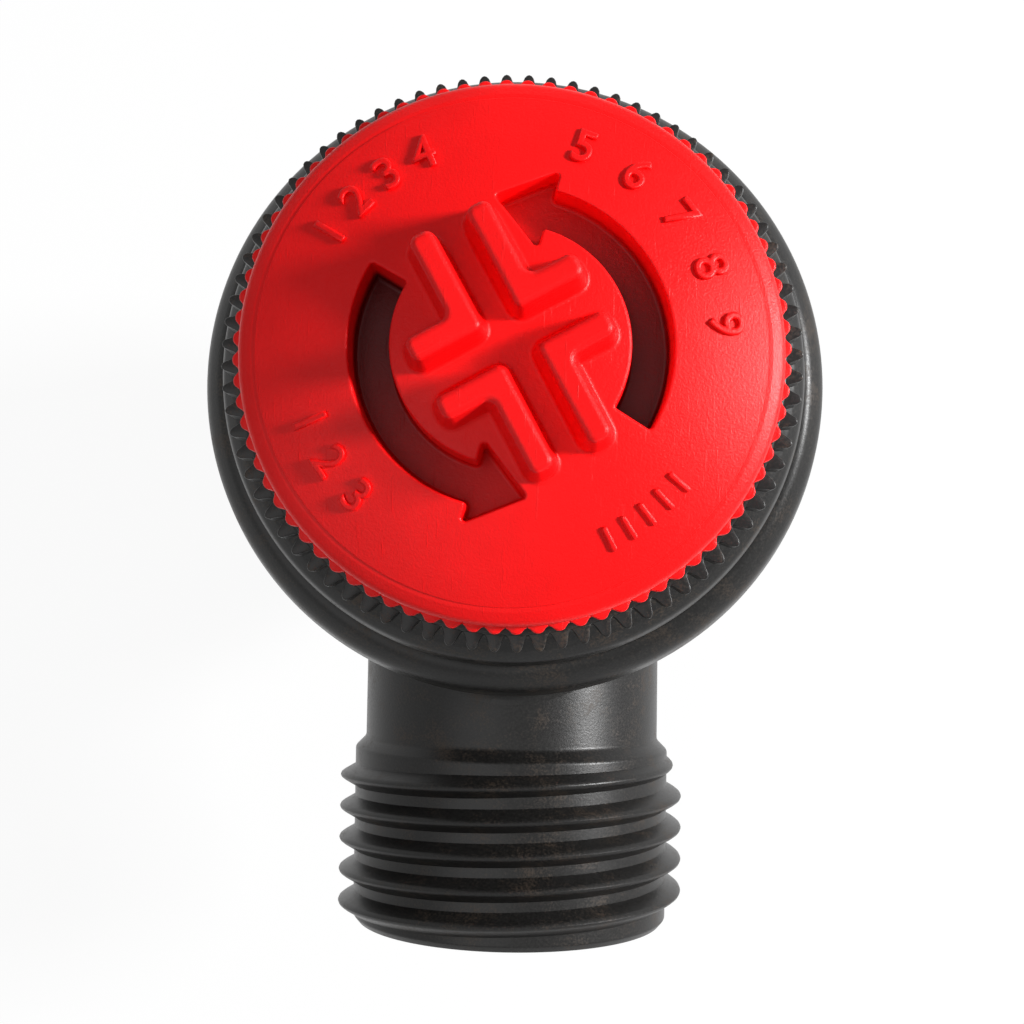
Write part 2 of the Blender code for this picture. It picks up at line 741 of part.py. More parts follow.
def disc_holder(mat):
    seal_high = seal_levels()[1]
    recess_z = seal_high + CLEARANCE
    cup_low = SEAT_LIP_Z + 1.0 * MM
    cup_high = recess_z + HOLDER_ROOF
    flange_high = DIAPHRAGM_CENTRE_Z - CLEARANCE
    flange_low = flange_high - HOLDER_FLANGE_THICKNESS
    top = stem_nut_levels()[1] + 0.5 * MM
    socket_z = flange_high
    socket_r = STEM_R + CLEARANCE
    screw_hole_r = SEAL_SCREW_R + CLEARANCE
    screw_hole_z = recess_z + SEAL_SCREW_GRIP + 0.4 * MM
    lathe(
        "disc_holder",
        [
            (0, screw_hole_z),
            (screw_hole_r, screw_hole_z),
            (screw_hole_r, recess_z),
            (SEAL_R + CLEARANCE, recess_z),
            (SEAL_R + CLEARANCE, cup_low),
            (HOLDER_R - 0.3 * MM, cup_low),
            (HOLDER_R, cup_low + 0.3 * MM),
            (HOLDER_R, cup_high - 0.6 * MM),
            (HOLDER_R - 0.6 * MM, cup_high),
            (HOLDER_NECK_R + 0.8 * MM, cup_high),
            (HOLDER_NECK_R, cup_high + 0.8 * MM),
            (HOLDER_NECK_R, flange_low - 0.8 * MM),
            (HOLDER_NECK_R + 0.8 * MM, flange_low),
            (HOLDER_FLANGE_R - 0.5 * MM, flange_low),
            (HOLDER_FLANGE_R, flange_low + 0.5 * MM),
            (HOLDER_FLANGE_R, flange_high),
            (HOLDER_THREAD_R, flange_high),
            (HOLDER_THREAD_R, top),
            (socket_r, top),
            (socket_r, socket_z),
            (0, socket_z),
        ],
        SMALL,
        mat,
    )


def seat_seal(mat):
    low, high = seal_levels()
    hole_r = SEAL_SCREW_R + CLEARANCE
    lathe("seat_seal", [(hole_r, low), (SEAL_R, low), (SEAL_R, high), (hole_r, high)], SMALL, mat)


def seal_washer_levels():
    high = seal_levels()[0] - CLEARANCE
    return high - SEAL_WASHER_THICKNESS, high


def seal_washer(mat):
    low, high = seal_washer_levels()
    hole_r = SEAL_SCREW_R + CLEARANCE
    outline = [(hole_r, low), (SEAL_WASHER_R, low), (SEAL_WASHER_R, high), (hole_r, high)]
    lathe("seal_washer", outline, SMALL, mat)


def seal_screw(mat):
    head_high = seal_washer_levels()[0] - CLEARANCE
    head_low = head_high - SEAL_SCREW_HEAD_HEIGHT
    shank_end = seal_levels()[1] + CLEARANCE + SEAL_SCREW_GRIP
    lathe(
        "seal_screw",
        [
            (0, head_low + 0.5 * MM),
            (0.9 * MM, head_low + 0.5 * MM),
            (1.1 * MM, head_low),
            (SEAL_SCREW_HEAD_R - 0.4 * MM, head_low),
            (SEAL_SCREW_HEAD_R, head_low + 0.4 * MM),
            (SEAL_SCREW_HEAD_R, head_high),
            (SEAL_SCREW_R, head_high),
            (SEAL_SCREW_R, shank_end),
            (0, shank_end),
        ],
        SMALL,
        mat,
    )


def nut_washer_levels():
    low = lower_plate_floor() + CLEARANCE
    return low, low + NUT_WASHER_THICKNESS


def nut_washer(mat):
    low, high = nut_washer_levels()
    hole_r = HOLDER_THREAD_R + CLEARANCE
    outline = [(hole_r, low), (NUT_WASHER_R, low), (NUT_WASHER_R, high), (hole_r, high)]
    lathe("nut_washer", outline, SMALL, mat)


def stem_nut_levels():
    low = nut_washer_levels()[1] + CLEARANCE
    return low, low + STEM_NUT_HEIGHT


def stem_nut(mat):
    """Hexagon nut with a round hole."""
    low, high = stem_nut_levels()
    hole_r = HOLDER_THREAD_R + CLEARANCE
    facets = 24
    sections = []
    for step in range(facets):
        angle = math.tau * step / facets
        to_flat = (angle % (math.tau / 6)) - math.tau / 12
        outer = STEM_NUT_ACROSS_CORNERS / 2 * math.cos(math.tau / 12) / math.cos(to_flat)
        sections.append(
            [
                polar(hole_r, angle, low),
                polar(outer, angle, low),
                polar(outer, angle, high),
                polar(hole_r, angle, high),
            ]
        )
    loft("stem_nut", sections, mat, closed=True)


def retaining_ring_levels():
    low = CORE_BOTTOM_Z + HUB_LIP + CLEARANCE
    return low, low + RETAINING_RING_THICKNESS


def stem(mat):
    foot = DIAPHRAGM_CENTRE_Z
    head_low = retaining_ring_levels()[1] + CLEARANCE
    head_high = head_low + STEM_HEAD_THICKNESS
    lathe(
        "stem",
        [
            (0, foot),
            (STEM_R - 0.3 * MM, foot),
            (STEM_R, foot + 0.3 * MM),
            (STEM_R, head_low),
            (STEM_HEAD_R, head_low),
            (STEM_HEAD_R, head_high - 0.3 * MM),
            (STEM_HEAD_R - 0.3 * MM, head_high),
            (0, head_high),
        ],
        SMALL,
        mat,
    )


def cap_retaining_ring(mat):
    """Split ring in the cap's hub, open over a sixth of a turn."""
    low, high = retaining_ring_levels()
    opening = math.tau / 6
    ring = sector(
        "cap_retaining_ring",
        STEM_R + CLEARANCE,
        HUB_POCKET_R - CLEARANCE,
        opening / 2,
        math.tau - opening / 2,
        lambda angle: low,
        lambda angle: high,
        steps=20,
    )
    ring.data.materials.append(mat)


def recess_cutter(name, turned):
    """One arrow-shaped recess. Its floor rises from the square end to the tip."""
    above = RIB_TOP_Z + 1 * MM

    def floor(angle):
        share = (angle - RECESS_START) / (RECESS_TIP - RECESS_START)
        return RECESS_DEEP_Z + (RECESS_SHALLOW_Z - RECESS_DEEP_Z) * share

    def section(inner, outer, z):
        return [
            Vector((inner.x, inner.y, z)),
            Vector((outer.x, outer.y, z)),
            Vector((outer.x, outer.y, above)),
            Vector((inner.x, inner.y, above)),
        ]

    sections = []
    for step in range(RECESS_STEPS + 1):
        angle = RECESS_START + (RECESS_HEAD - RECESS_START) * step / RECESS_STEPS
        inner = polar(RECESS_INNER_R, angle + turned)
        outer = polar(RECESS_OUTER_R, angle + turned)
        sections.append(section(inner, outer, floor(angle)))
    base = [polar(radius, RECESS_HEAD + turned) for radius in RECESS_HEAD_R]
    tip = polar(RECESS_TIP_R, RECESS_TIP + turned)
    for share in (0.0, 0.98):
        corners = [corner.lerp(tip, share) for corner in base]
        sections.append(section(*corners, floor(RECESS_HEAD + (RECESS_TIP - RECESS_HEAD) * share)))
    return loft(name, sections)


def rib_outline(side_u, side_v, wider):
    """Outline of one L-shaped rib. The sides say which quarter it stands in."""
    corner_u, corner_v = RIB_CORNER
    trim = RIB_CORNER_CUT
    low_u, low_v = corner_u - wider, corner_v - wider
    arm_u, arm_v = corner_u + RIB_WIDTH + wider, corner_v + RIB_WIDTH + wider
    end_u, end_v = RIB_SHORT_END + wider, RIB_LONG_END + wider
    corners = [
        (low_u + trim, low_v),
        (end_u - trim, low_v),
        (end_u, low_v + trim),
        (end_u, arm_v - trim),
        (end_u - trim, arm_v),
        (arm_u + trim, arm_v),
        (arm_u, arm_v + trim),
        (arm_u, end_v - trim),
        (arm_u - trim, end_v),
        (low_u + trim, end_v),
        (low_u, end_v - trim),
        (low_u, low_v + trim),
    ]
    turn = Matrix.Rotation(RIB_ANGLE, 3, "Z")
    return [turn @ Vector((u * side_u, v * side_v, 0)) for u, v in corners]


def grip_rib(name, side_u, side_v):
    """A drafted rib with a rounded top edge, standing in the cap's face."""
    edge = 0.3 * MM
    foot_z = crown_z(RIB_LONG_END) - SINK
    levels = [
        (foot_z, RIB_DRAFT),
        (RIB_TOP_Z - edge, 0.04 * MM),
        (RIB_TOP_Z - 0.3 * edge, -0.05 * MM),
        (RIB_TOP_Z, -0.2 * MM),
    ]
    sections = []
    for z, wider in levels:
        sections.append([Vector((p.x, p.y, z)) for p in rib_outline(side_u, side_v, wider)])
    return loft(name, sections)


def cap(mat):
    hub_lip_z = CORE_BOTTOM_Z + HUB_LIP
    inner_face = [(share * FACE_R, crown_z(share * FACE_R)) for share in (0.1, 0.35, 0.6, 0.82)]
    body = lathe(
        "cap",
        [(0, inner_face[0][1])]
        + inner_face
        + [
            (FACE_R, FACE_EDGE_Z),
            (FACE_R + 0.4 * MM, FACE_EDGE_Z - 0.25 * MM),
            (SKIRT_R - 0.1 * MM, TOOTH_TOP_Z + 0.4 * MM),
            (SKIRT_R, TOOTH_TOP_Z),
            (TOOTH_VALLEY_R, TOOTH_TOP_Z, TOOTH_TIP_R),
            (TOOTH_VALLEY_R, SKIRT_BOTTOM_Z, TOOTH_TIP_R),
            (SKIRT_INNER_R, SKIRT_BOTTOM_Z),
            (SKIRT_INNER_R, CAP_CEILING_Z - 0.4 * MM),
            (SKIRT_INNER_R - 0.4 * MM, CAP_CEILING_Z),
            (CORE_R + 0.4 * MM, CAP_CEILING_Z),
            (CORE_R, CORE_BOTTOM_Z),
            (0, CORE_BOTTOM_Z),
        ],
        TOOTH_COUNT,
        mat,
    )
    hub_hole = lathe(
        "hub_hole",
        [
            (0, CORE_BOTTOM_Z - 1 * MM),
            (HUB_BORE_R, CORE_BOTTOM_Z - 1 * MM),
            (HUB_BORE_R, hub_lip_z),
            (HUB_POCKET_R, hub_lip_z),
            (HUB_POCKET_R, HUB_POCKET_TOP_Z),
            (0, HUB_POCKET_TOP_Z),
        ],
        SMALL,
    )
    cut(body, hub_hole)
    for side_u in (-1, 1):
        for side_v in (-1, 1):
            join(body, grip_rib(f"grip_rib_{side_u}_{side_v}", side_u, side_v))
    for index in range(RAMP_COUNT):
        start = ramp_start(index) + LUG_SIDE_GAP
        lug = sector(
            f"lifting_lug_{index + 1}",
            RAMP_INNER_R + 0.1 * MM,
            RAMP_OUTER_R - 0.1 * MM,
            start,
            start + LUG_ANGLE,
            lambda angle: ramp_z(index, angle) + CLEARANCE,
            lambda angle: CAP_CEILING_Z + SINK,
            steps=2,
        )
        join(body, lug)
    cut(body, recess_cutter("arrow_recess_left", 0.0), recess_cutter("arrow_recess_right", math.pi))


def build():
    clear_scene()
    red = material("cap_red", (0.85, 0.012, 0.01), 0.45)
    black = material("body_black", (0.02, 0.02, 0.019), 0.5)
    bonnet_black = material("bonnet_black", (0.016, 0.015, 0.014), 0.55)
    nut_black = material("nut_black", (0.02, 0.02, 0.02), 0.5)
    brass = material("seat_brass", (0.62, 0.42, 0.16), 0.35, 1.0)
    stem_brass = material("stem_brass", (0.6, 0.41, 0.17), 0.35, 1.0)
    nut_brass = material("stem_nut_brass", (0.6, 0.4, 0.17), 0.4, 1.0)
    steel = material("spring_steel", (0.5, 0.5, 0.5), 0.3, 1.0)
    plate_steel = material("plate_steel", (0.55, 0.55, 0.54), 0.35, 1.0)
    upper_steel = material("upper_plate_steel", (0.55, 0.55, 0.54), 0.35, 1.0)
    washer_steel = material("washer_steel", (0.55, 0.55, 0.54), 0.35, 1.0)
    nut_washer_steel = material("nut_washer_steel", (0.55, 0.55, 0.54), 0.35, 1.0)
    screw_steel = material("screw_steel", (0.55, 0.55, 0.54), 0.3, 1.0)
    ring_steel = material("ring_steel", (0.45, 0.45, 0.45), 0.3, 1.0)
    rubber = material("diaphragm_rubber", (0.02, 0.02, 0.02), 0.8)
    seal_rubber = material("seal_rubber", (0.02, 0.02, 0.02), 0.8)
    o_ring_rubber = material("o_ring_rubber", (0.015, 0.015, 0.015), 0.7)
    slip_plastic = material("slip_plastic", (0.75, 0.73, 0.68), 0.5)
    holder_plastic = material("holder_plastic", (0.05, 0.05, 0.05), 0.5)

    valve_body(black)
    seat_insert(brass)
    inlet_o_rings(o_ring_rubber)
    diaphragm(rubber)
    slip_washer(slip_plastic)
    bonnet(bonnet_black)
    adjusting_nut(nut_black)
    upper_spring_plate(upper_steel)
    spring(steel)
    disc_holder(holder_plastic)
    seat_seal(seal_rubber)
    seal_washer(washer_steel)
    seal_screw(screw_steel)
    diaphragm_plate(plate_steel)
    nut_washer(nut_washer_steel)
    stem_nut(nut_brass)
    stem(stem_brass)
    cap_retaining_ring(ring_steel)
    cap(red)


build()
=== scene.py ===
"""Looks of a small diaphragm safety valve: red moulded cap, black glass-filled housings."""

import math

import bpy
import numpy as np
from mathutils import Matrix, Vector
from mathutils.geometry import delaunay_2d_cdt


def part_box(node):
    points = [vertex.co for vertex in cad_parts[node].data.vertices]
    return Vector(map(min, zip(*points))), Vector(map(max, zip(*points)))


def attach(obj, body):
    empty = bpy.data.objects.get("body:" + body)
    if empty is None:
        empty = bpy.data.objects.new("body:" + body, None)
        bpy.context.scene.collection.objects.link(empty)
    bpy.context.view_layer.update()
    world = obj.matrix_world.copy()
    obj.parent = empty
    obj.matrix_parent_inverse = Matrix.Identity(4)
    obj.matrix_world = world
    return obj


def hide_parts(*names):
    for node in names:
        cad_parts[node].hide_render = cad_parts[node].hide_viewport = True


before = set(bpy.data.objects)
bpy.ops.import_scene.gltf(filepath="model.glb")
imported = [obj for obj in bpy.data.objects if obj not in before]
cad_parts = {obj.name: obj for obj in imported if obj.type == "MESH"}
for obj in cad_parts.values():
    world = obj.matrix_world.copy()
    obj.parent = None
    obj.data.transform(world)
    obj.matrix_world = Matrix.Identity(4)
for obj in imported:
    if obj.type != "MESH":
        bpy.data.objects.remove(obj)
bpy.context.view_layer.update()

MM = 0.001

# Levels shared with the solids
OUTLET_AXIS_Z = 26.0 * MM
COLLAR_TOP_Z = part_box("adjusting_nut")[1].z
SKIRT_BOTTOM_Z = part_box("cap_retaining_ring")[0].z - 1.1 * MM
RIB_TOP_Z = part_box("cap")[1].z

# Cap
TOOTH_COUNT = 80
TOOTH_VALLEY_R = 12.38 * MM
TOOTH_TIP_R = 12.67 * MM
TOOTH_SHIFT = math.radians(-0.3)
SKIRT_R = 12.32 * MM
SKIRT_INNER_R = 11.2 * MM
FACE_R = 11.45 * MM
FACE_CROWN = 2.0 * MM
FACE_EDGE_Z = RIB_TOP_Z - FACE_CROWN - 1.6 * MM
TOOTH_TOP_Z = FACE_EDGE_Z - 1.0 * MM
CAP_CEILING_Z = FACE_EDGE_Z - 0.7 * MM
FACE_FACETS = 480
HUB_FOOT_Z = 47.0 * MM
HUB_STEP_Z = 47.5 * MM
HUB_POCKET_Z = 49.6 * MM
HUB_HOLE_R = 1.8 * MM
HUB_POCKET_R = 3.2 * MM
MARK_R = 9.5 * MM
TICK_COUNT = 5
TICK_LENGTH = 1.2 * MM
TICK_FIRST = math.radians(298)
TICK_STEP = math.radians(6)

RECESS_INNER_R = 5.3 * MM
RECESS_OUTER_R = 7.15 * MM
RECESS_START = math.radians(149.5)
RECESS_HEAD = math.radians(255)
RECESS_TIP = math.radians(277)
RECESS_HEAD_R = (4.3 * MM, 8.1 * MM)
RECESS_TIP_R = 6.7 * MM
RECESS_DEEP_Z = 47.8 * MM
RECESS_SHALLOW_Z = 48.6 * MM

# Where painted shade darkens the cap's colour on the recesses' floors, in millimetres
RECESS_EDGE_MM = (8.1, 8.4)
RECESS_SHADE_MM = (47.9, 49.0)
RECESS_FOOT_MM = (47.4, 47.6)

RIB_ANGLE = math.radians(28.8)
RIB_CORNER = (0.8 * MM, 0.83 * MM)
RIB_SHORT_END = 4.1 * MM
RIB_LONG_END = 5.7 * MM
RIB_WIDTH = 1.13 * MM
RIB_DRAFT = 0.22 * MM

# Lifting ramps on the bonnet and lugs in the cap
RAMP_R = (9.3 * MM, 10.7 * MM)
RAMP_PLATE_Z = COLLAR_TOP_Z - 1.2 * MM
RAMP_START = math.radians(10)
RAMP_SPAN = math.radians(89)
RISE_PER_RADIAN = 1.6 * MM / math.radians(75)

# Bonnet
COLLAR_LOW_Z = COLLAR_TOP_Z - 1.6 * MM
COLLAR_VALLEY_R = 12.76 * MM
COLLAR_TIP_R = 13.54 * MM

# Outlet
NECK_R = 8.6 * MM
THREAD_CREST_R = 10.05 * MM
THREAD_PITCH = 1.814 * MM
THREAD_START = 19.4 * MM
THREAD_START_ANGLE = math.radians(125)
THREAD_TURNS = 5.37
THREAD_LIMIT = 29.4 * MM

# The ridge's section: places along it in pitches, and heights as shares of the full height
THREAD_FLANK = (
    (0.06, 0.975),
    (0.13, 0.88),
    (0.32, 0.54),
    (0.4, 0.44),
    (0.488, 0.36),
    (0.49, 0.0),
)
THREAD_SECTION = (
    *((-along, height) for along, height in reversed(THREAD_FLANK)),
    (0.0, 1.0),
    *THREAD_FLANK,
)

# Camera, measured on the photograph
CAMERA_PLACE = (1.15 * MM, -11.06 * MM, 113.04 * MM)
CAMERA_TURN = (math.radians(3.43), math.radians(0.88), math.radians(0.88))
FOCAL_LENGTH_MM = 51.0
SENSOR_MM = 36.0


# Shapes


def polar(radius, angle, z=0.0):
    return Vector((radius * math.cos(angle), radius * math.sin(angle), z))


def new_piece(name, points, faces, crease=math.radians(40)):
    """A piece from points and faces, with its faces made to point out."""
    mesh = bpy.data.meshes.new(name)
    mesh.from_pydata([tuple(point) for point in points], [], faces)
    mesh.validate()
    mesh.calc_loop_triangles()
    corners = np.array([point for vertex in mesh.vertices for point in vertex.co]).reshape(-1, 3)
    triangles = np.array([triangle.vertices for triangle in mesh.loop_triangles])
    a, b, c = (corners[triangles[:, index]] for index in range(3))
    if np.einsum("ij,ij->i", a, np.cross(b, c)).sum() < 0:
        mesh.flip_normals()
    mesh.shade_smooth()
    mesh.set_sharp_from_angle(angle=crease)
    piece = bpy.data.objects.new(name, mesh)
    bpy.context.scene.collection.objects.link(piece)
    return piece


def rounded(corners, closed=True, step=math.radians(12)):
    """An outline through corners of (x, y, radius), each rounded by an arc of that radius."""
    outline = []
    count = len(corners)
    for index, (x, y, radius) in enumerate(corners):
        here = Vector((x, y))
        if radius == 0 or (not closed and index in (0, count - 1)):
            outline.append(here)
            continue
        before = Vector(corners[index - 1][:2]) - here
        after = Vector(corners[(index + 1) % count][:2]) - here
        towards_before, towards_after = before.normalized(), after.normalized()
        between = towards_before.angle(towards_after)
        reach = radius / math.tan(between / 2)
        reach = min(reach, 0.49 * before.length, 0.49 * after.length)
        fitted = reach * math.tan(between / 2)
        middle = (towards_before + towards_after).normalized()
        centre = here + middle * (fitted / math.sin(between / 2))
        first = here + towards_before * reach - centre
        sweep = math.pi - between
        turning = 1 if first.cross(here + towards_after * reach - centre) > 0 else -1
        parts = max(2, math.ceil(sweep / step))
        for part in range(parts + 1):
            angle = turning * sweep * part / parts
            turned = Vector(
                (
                    first.x * math.cos(angle) - first.y * math.sin(angle),
                    first.x * math.sin(angle) + first.y * math.cos(angle),
                )
            )
            outline.append(centre + turned)
    return outline


def lathe(name, outline, facets):
    """Turns a closed (radius, z) outline round +Z. Points on the axis close to a fan."""
    points = []
    rings = []
    for radius, z in outline:
        if radius < 1e-7:
            rings.append([len(points)] * facets)
            points.append(Vector((0, 0, z)))
            continue
        rings.append(list(range(len(points), len(points) + facets)))
        points += [polar(radius, math.tau * part / facets, z) for part in range(facets)]
    faces = []
    for ring, following in zip(rings, rings[1:] + rings[:1]):
        for part in range(facets):
            ahead = (part + 1) % facets
            corners = [ring[part], ring[ahead], following[ahead], following[part]]
            face = list(dict.fromkeys(corners))
            if len(face) > 2:
                faces.append(face)
    return new_piece(name, points, faces)


def loft(name, sections, closed=False):
    """Joins outlines of equally many points in order, and caps both ends unless it is closed."""
    count = len(sections[0])
    points = [point for section in sections for point in section]
    faces = []
    for span in range(len(sections) if closed else len(sections) - 1):
        first = span * count
        second = (span + 1) % len(sections) * count
        for part in range(count):
            ahead = (part + 1) % count
            faces.append([first + part, first + ahead, second + ahead, second + part])
    if not closed:
        faces.append(list(reversed(range(count))))
        faces.append([(len(sections) - 1) * count + part for part in range(count)])
    return new_piece(name, points, faces)


def along_outlet(piece):
    """Turns a shape drawn up +Z so that it points along -Y at the outlet's height."""
    piece.data.transform(
        Matrix.Translation((0, 0, OUTLET_AXIS_Z)) @ Matrix.Rotation(math.radians(90), 4, "X")
    )
    return piece


def join(name, pieces):
    """Makes one object of several, with their meshes side by side."""
    bpy.ops.object.select_all(action="DESELECT")
    for piece in pieces:
        piece.select_set(True)
    bpy.context.view_layer.objects.active = pieces[0]
    bpy.ops.object.join()
    pieces[0].name = name
    pieces[0].data.name = name
    return pieces[0]


def settle(piece):
    """Turns a piece's modifiers into its mesh."""
    evaluated = piece.evaluated_get(bpy.context.evaluated_depsgraph_get())
    mesh = bpy.data.meshes.new_from_object(evaluated)
    piece.modifiers.clear()
    old = piece.data
    piece.data = mesh
    mesh.name = piece.name
    bpy.data.meshes.remove(old)
    return piece


def cut(piece, cutter):
    modifier = piece.modifiers.new("cut", "BOOLEAN")
    modifier.operation = "DIFFERENCE"
    modifier.solver = "EXACT"
    modifier.object = cutter
    settle(piece)
    bpy.data.objects.remove(cutter)
    piece.data.set_sharp_from_angle(angle=math.radians(30))
    return piece


# Repeated pieces, in Geometry Nodes


def arc_row_tree():
    """Repeats a mesh drawn at +X along an arc round +Z: count, radius, first angle and step."""
    tree = bpy.data.node_groups.new("arc_row", "GeometryNodeTree")
    face = tree.interface
    face.new_socket("Geometry", in_out="OUTPUT", socket_type="NodeSocketGeometry")
    face.new_socket("Geometry", in_out="INPUT", socket_type="NodeSocketGeometry")
    face.new_socket("Count", in_out="INPUT", socket_type="NodeSocketInt")
    for named in ("Radius", "First Angle", "Step Angle"):
        face.new_socket(named, in_out="INPUT", socket_type="NodeSocketFloat")
    face.new_socket("Material", in_out="INPUT", socket_type="NodeSocketMaterial")
    nodes, links = tree.nodes, tree.links

    def node(kind, **sockets):
        made = nodes.new(kind)
        for key, value in sockets.items():
            numbered = key[0] == "i" and key[1:].isdigit()
            socket = made.inputs[int(key[1:]) if numbered else key]
            if isinstance(value, bpy.types.NodeSocket):
                links.new(value, socket)
            else:
                socket.default_value = value
        return made

    def maths(operation, first, second=0.0):
        made = node("ShaderNodeMath", i0=first, i1=second)
        made.operation = operation
        return made.outputs[0]

    given = nodes.new("NodeGroupInput").outputs
    index = nodes.new("GeometryNodeInputIndex").outputs[0]
    angle = maths("ADD", maths("MULTIPLY", index, given["Step Angle"]), given["First Angle"])
    along_x = maths("MULTIPLY", maths("COSINE", angle), given["Radius"])
    along_y = maths("MULTIPLY", maths("SINE", angle), given["Radius"])
    place = node("ShaderNodeCombineXYZ", X=along_x, Y=along_y).outputs[0]
    turn = node("ShaderNodeCombineXYZ", Z=angle).outputs[0]
    spots = node("GeometryNodePoints", Count=given["Count"], Position=place).outputs[0]
    shape = given["Geometry"]
    row = node("GeometryNodeInstanceOnPoints", Points=spots, Instance=shape, Rotation=turn)
    real = node("GeometryNodeRealizeInstances", Geometry=row.outputs[0]).outputs[0]
    done = node("GeometryNodeSetMaterial", Geometry=real, Material=given["Material"]).outputs[0]
    links.new(done, nodes.new("NodeGroupOutput").inputs[0])
    return tree


ARC_ROW = arc_row_tree()


def arc_row(piece, count, radius, first_angle, step_angle, finish):
    """Repeats a piece drawn at the origin with its outside towards +X."""
    modifier = piece.modifiers.new("arc_row", "NODES")
    modifier.node_group = ARC_ROW
    chosen = {
        "Count": count,
        "Radius": radius,
        "First Angle": first_angle,
        "Step Angle": step_angle,
        "Material": finish,
    }
    for item in ARC_ROW.interface.items_tree:
        if item.in_out == "INPUT" and item.name in chosen:
            modifier[item.identifier] = chosen[item.name]
    return settle(piece)


# Finishes


class Signal:
    """A shader socket that takes part in Python arithmetic."""

    def __init__(self, finish, socket):
        self.finish = finish
        self.socket = socket

    def maths(self, operation, other):
        sockets = {0: self.socket, 1: other}
        return self.finish.node("ShaderNodeMath", {"operation": operation}, sockets)

    def __add__(self, other):
        return self.maths("ADD", other)

    __radd__ = __add__

    def __mul__(self, other):
        return self.maths("MULTIPLY", other)

    __rmul__ = __mul__

    def __sub__(self, other):
        return self.maths("SUBTRACT", other)

    def __rsub__(self, other):
        return self.maths("MULTIPLY", -1.0) + other

    def between(self, low, high):
        """0 below low, 1 above high, smooth between them."""
        ranged = {"interpolation_type": "SMOOTHSTEP"}
        return self.finish.node("ShaderNodeMapRange", ranged, {0: self.socket, 1: low, 2: high})


class Finish:
    """A Principled material in the making."""

    def __init__(self, name, roughness=0.5, metallic=0.0, specular=0.5):
        self.material = bpy.data.materials.new(name)
        self.material.use_nodes = True
        self.tree = self.material.node_tree
        self.shader = self.tree.nodes["Principled BSDF"]
        self.shader.inputs["Roughness"].default_value = roughness
        self.shader.inputs["Metallic"].default_value = metallic
        self.shader.inputs["Specular IOR Level"].default_value = specular

    def node(self, kind, settings=None, sockets=None, output=0):
        made = self.tree.nodes.new(kind)
        for key, value in (settings or {}).items():
            setattr(made, key, value)
        for key, value in (sockets or {}).items():
            value = getattr(value, "socket", value)
            if isinstance(value, bpy.types.NodeSocket):
                self.tree.links.new(value, made.inputs[key])
            else:
                made.inputs[key].default_value = value
        return Signal(self, made.outputs[output])

    def place(self):
        """The surface's place in millimetres."""
        spot = self.node("ShaderNodeTexCoord", output=3)
        return self.node("ShaderNodeVectorMath", {"operation": "SCALE"}, {0: spot, 3: 1 / MM})

    def axis(self, vector, which):
        return self.node("ShaderNodeSeparateXYZ", None, {0: vector}, "XYZ".index(which))

    def noise(self, vector, scale, detail=3.0, roughness=0.5):
        sockets = {"Vector": vector, "Scale": scale, "Detail": detail, "Roughness": roughness}
        return self.node("ShaderNodeTexNoise", None, sockets)

    def stretch(self, vector, by, turn=(0, 0, 0)):
        return self.node("ShaderNodeMapping", None, {0: vector, 2: turn, 3: by})

    def mix(self, share, first, second):
        """Blends two colours by a share from 0 to 1."""
        sockets = {0: share}
        for place, colour in ((6, first), (7, second)):
            sockets[place] = colour if isinstance(colour, Signal) else (*colour, 1.0)
        return self.node("ShaderNodeMix", {"data_type": "RGBA"}, sockets, 2)

    def bump(self, height, distance, strength):
        sockets = {"Height": height, "Distance": distance, "Strength": strength}
        return self.node("ShaderNodeBump", None, sockets)

    def feed(self, **signals):
        for key, signal in signals.items():
            socket = self.shader.inputs[key.replace("_", " ").title()]
            self.tree.links.new(signal.socket, socket)
        return self.material


def red_plastic():
    """Bright red moulded cap: faint flow marks, scuffs and specks, with painted shade on the recess
    floors.
    """
    finish = Finish("red_plastic", roughness=0.36, specular=0.2)
    spot = finish.place()
    cloud = finish.noise(spot, 0.22, 4.0)
    speck = finish.noise(spot, 6.0, 4.0, 0.65)
    scuff_a = finish.noise(finish.stretch(spot, (9.0, 0.5, 1.0), (0, 0, 0.6)), 1.0, 3.0)
    scuff_b = finish.noise(finish.stretch(spot, (8.0, 0.6, 1.0), (0, 0, -0.9)), 1.0, 3.0)
    scuffed = (scuff_a * scuff_b).between(0.33, 0.5)
    colour = finish.mix(cloud.between(0.3, 0.7), (0.93, 0.0035, 0.005), (0.84, 0.003, 0.004))
    colour = finish.mix(speck.between(0.62, 0.85) * 0.5, colour, (0.5, 0.003, 0.004))
    across, along = finish.axis(spot, "X"), finish.axis(spot, "Y")
    # Painted shade: inside the recesses the colour darkens to a red-black, fully on the deep floor
    # at the square ends and less towards the shallower tips
    edge_low, edge_high = RECESS_EDGE_MM
    recessed = 1.0 - (across * across + along * along).between(edge_low**2, edge_high**2)
    height = finish.axis(spot, "Z")
    sunk = (1.0 - height.between(*RECESS_SHADE_MM)) * height.between(*RECESS_FOOT_MM) * recessed
    colour = finish.mix(sunk, colour, (0.09, 0.001, 0.0015))
    rough = cloud * 0.14 + speck * 0.2 + scuffed * 0.14 + 0.2
    grain = finish.noise(spot, 9.0, 3.0, 0.7)
    relief = finish.bump(grain + scuffed * 0.4 + cloud * 1.5, 0.03 * MM, 0.7)
    return finish.feed(Base_Color=colour, Roughness=rough, Normal=relief)


